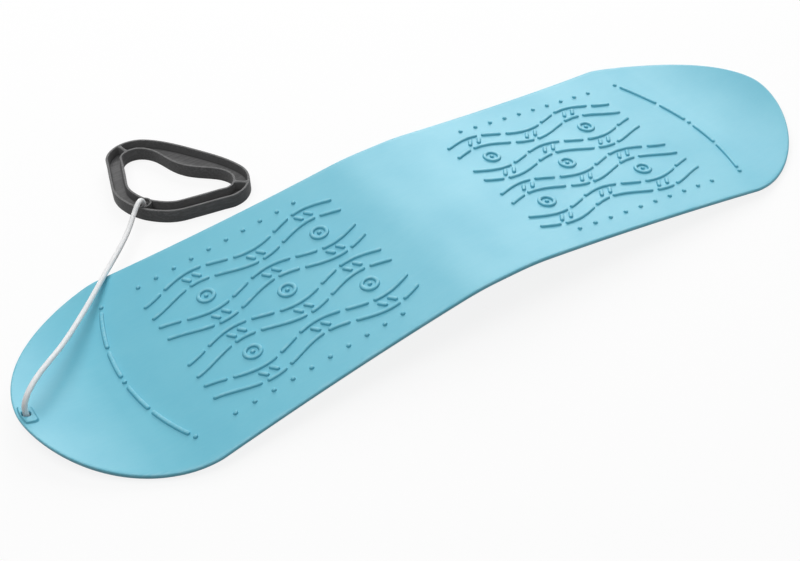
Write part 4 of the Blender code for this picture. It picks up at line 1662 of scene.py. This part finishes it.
@dataclass
class Studio:
    """A pale floor, soft lamps and the camera at the photograph's place.

    The values from target to lens were fitted to the photograph. sky is the share of white light
    that the surround gives where it isn't seen.
    """

    form: BoardForm
    target: Triple = (-0.0692, -0.0554, 0.0)
    azimuth: float = math.radians(-31.244)
    elevation: float = math.radians(41.740)
    roll: float = math.radians(-3.156)
    distance: float = 1.0071
    lens: float = 59.556
    sensor: float = 36.0
    clip_start: float = 0.01
    lamps: tuple[Lamp, ...] = (
        Lamp("key_lamp", (-0.60, 0.35, 2.1), 1.8, 26.0),
        Lamp("back_lamp", (1.25, 1.62, 1.25), 1.6, 36.0),
        Lamp("front_lamp", (0.9, -1.5, 0.8), 1.8, 5.0),
    )
    sky: float = 0.14
    floor_half: float = 3.0
    floor_unseen: Triple = (0.24, 0.24, 0.24)
    floor_glow: float = 0.86

    def camera(self) -> bpy.types.Object:
        """Set up the camera.

        It stands off its target by azimuth and elevation, and its own axes are turned about the
        line of sight by the roll.

        Returns:
            The camera.
        """
        sin_a, cos_a = math.sin(self.azimuth), math.cos(self.azimuth)
        sin_e, cos_e = math.sin(self.elevation), math.cos(self.elevation)
        back = Vector((sin_a * cos_e, -cos_a * cos_e, sin_e))
        level = Vector((cos_a, sin_a, 0.0))
        rise = Vector((-sin_a * sin_e, cos_a * sin_e, cos_e))
        right = level * math.cos(self.roll) + rise * math.sin(self.roll)
        up = rise * math.cos(self.roll) - level * math.sin(self.roll)
        place = Vector(self.target) + back * self.distance
        lens = bpy.data.cameras.new("camera")
        lens.lens = self.lens
        lens.sensor_width = self.sensor
        lens.clip_start = self.clip_start
        camera = bpy.data.objects.new("camera", lens)
        facing = Matrix((right, up, back)).transposed().to_4x4()
        camera.matrix_world = Matrix.Translation(place) @ facing
        bpy.context.scene.collection.objects.link(camera)
        bpy.context.scene.camera = camera
        return camera

    @staticmethod
    def seen(graph: Graph) -> Value:
        """Whether a ray shows a surface: camera, glossy and transmission rays do.

        Args:
            graph: The graph of the material or world that asks.
        Returns:
            1 for those rays, and 0 for the rays that only light.
        """
        kinds = ("Is Camera Ray", "Is Glossy Ray", "Is Transmission Ray")
        rays = [graph.node("ShaderNodeLightPath", {}, {}, kind) for kind in kinds]
        return rays[0].largest(rays[1]).largest(rays[2])

    def floor(self) -> bpy.types.Object:
        """A pale floor that shows white and keeps the object's shadow, but throws little light up.

        It is matt, white where it is seen and grey where it only lights, with a white glow mixed
        in where it is seen.

        Returns:
            The floor.
        """
        plan = self.floor_half * np.array([(-1, -1), (1, -1), (1, 1), (-1, 1)])
        corners = lifted(plan, self.form.ground)
        material, graph, shader = new_material("pale_floor")
        graph.tree.nodes.remove(shader)
        seen = self.seen(graph)
        color = graph.blend(seen, self.floor_unseen, WHITE)
        matt = graph.node("ShaderNodeBsdfDiffuse", {}, {"Color": color})
        glow = graph.node("ShaderNodeEmission", {}, {"Color": (*WHITE, 1.0), "Strength": 1.0})
        shares = {0: seen * self.floor_glow, 1: matt, 2: glow}
        mixed = graph.node("ShaderNodeMixShader", {}, shares)
        set_inputs(graph.tree.nodes["Material Output"], {"Surface": mixed})
        floor = make_piece("floor", Surface(corners, [np.array([[0, 1, 2, 3]])]), material)
        return floor

    def world(self) -> None:
        """An even pale surround: white where it is seen, and a soft fill where it only lights."""
        world = bpy.data.worlds.new("surround")
        world.use_nodes = True
        bpy.context.scene.world = world
        graph = Graph(world.node_tree)
        strength = self.seen(graph) * (1.0 - self.sky) + self.sky
        background = world.node_tree.nodes["Background"]
        set_inputs(background, {"Color": (*WHITE, 1.0), "Strength": strength})

    def build(self) -> None:
        """Set the whole studio up."""
        for lamp in self.lamps:
            lamp.build(Vector())
        self.floor()
        self.world()
        bpy.context.scene.view_settings.view_transform = "Standard"
        log.info("studio: %d lamps", len(self.lamps))


def main() -> None:
    """Build the camera, the rope, the board, the handle and the studio."""
    logging.basicConfig(level=logging.INFO, format="%(message)s")
    form = BoardForm()
    light_blue = MouldedPlastic(
        "light_blue_plastic",
        color=(0.150, 0.540, 0.680),
        deep=(0.132, 0.512, 0.658),
        rubbed=(0.36, 0.66, 0.76),
        # Painted shade colour, darkening the feet of the relief and the rope pad's sides.
        painted_shade=(0.050, 0.280, 0.390),
        roughness=0.42,
        grain=900.0,
        grain_depth=0.03 * MM,
        rub=0.35,
        specular=0.5,
    )
    dark_grey = MouldedPlastic(
        "dark_grey_plastic",
        color=(0.158, 0.158, 0.159),
        deep=(0.136, 0.136, 0.137),
        rubbed=(0.31, 0.31, 0.31),
        # Painted shade colour, darkening the handle's corners, rib feet and rope well.
        painted_shade=(0.050, 0.050, 0.050),
        roughness=0.55,
        grain=1400.0,
        grain_depth=0.04 * MM,
        rub=0.4,
        specular=0.12,
    )
    white_cord = BraidedFibre(
        # The hollows' colour is painted shade between the strands.
        "white_braid", crown=WHITE, hollow=(0.80, 0.84, 0.87), roughness=0.75, yarns=40.0
    )
    studio = Studio(form)
    studio.camera()
    handle = PullHandle(form, dark_grey)
    TowRope(form, handle, white_cord).build()
    Deck(form, light_blue).build()
    handle.build()
    studio.build()


if __name__ == "__main__":
    main()
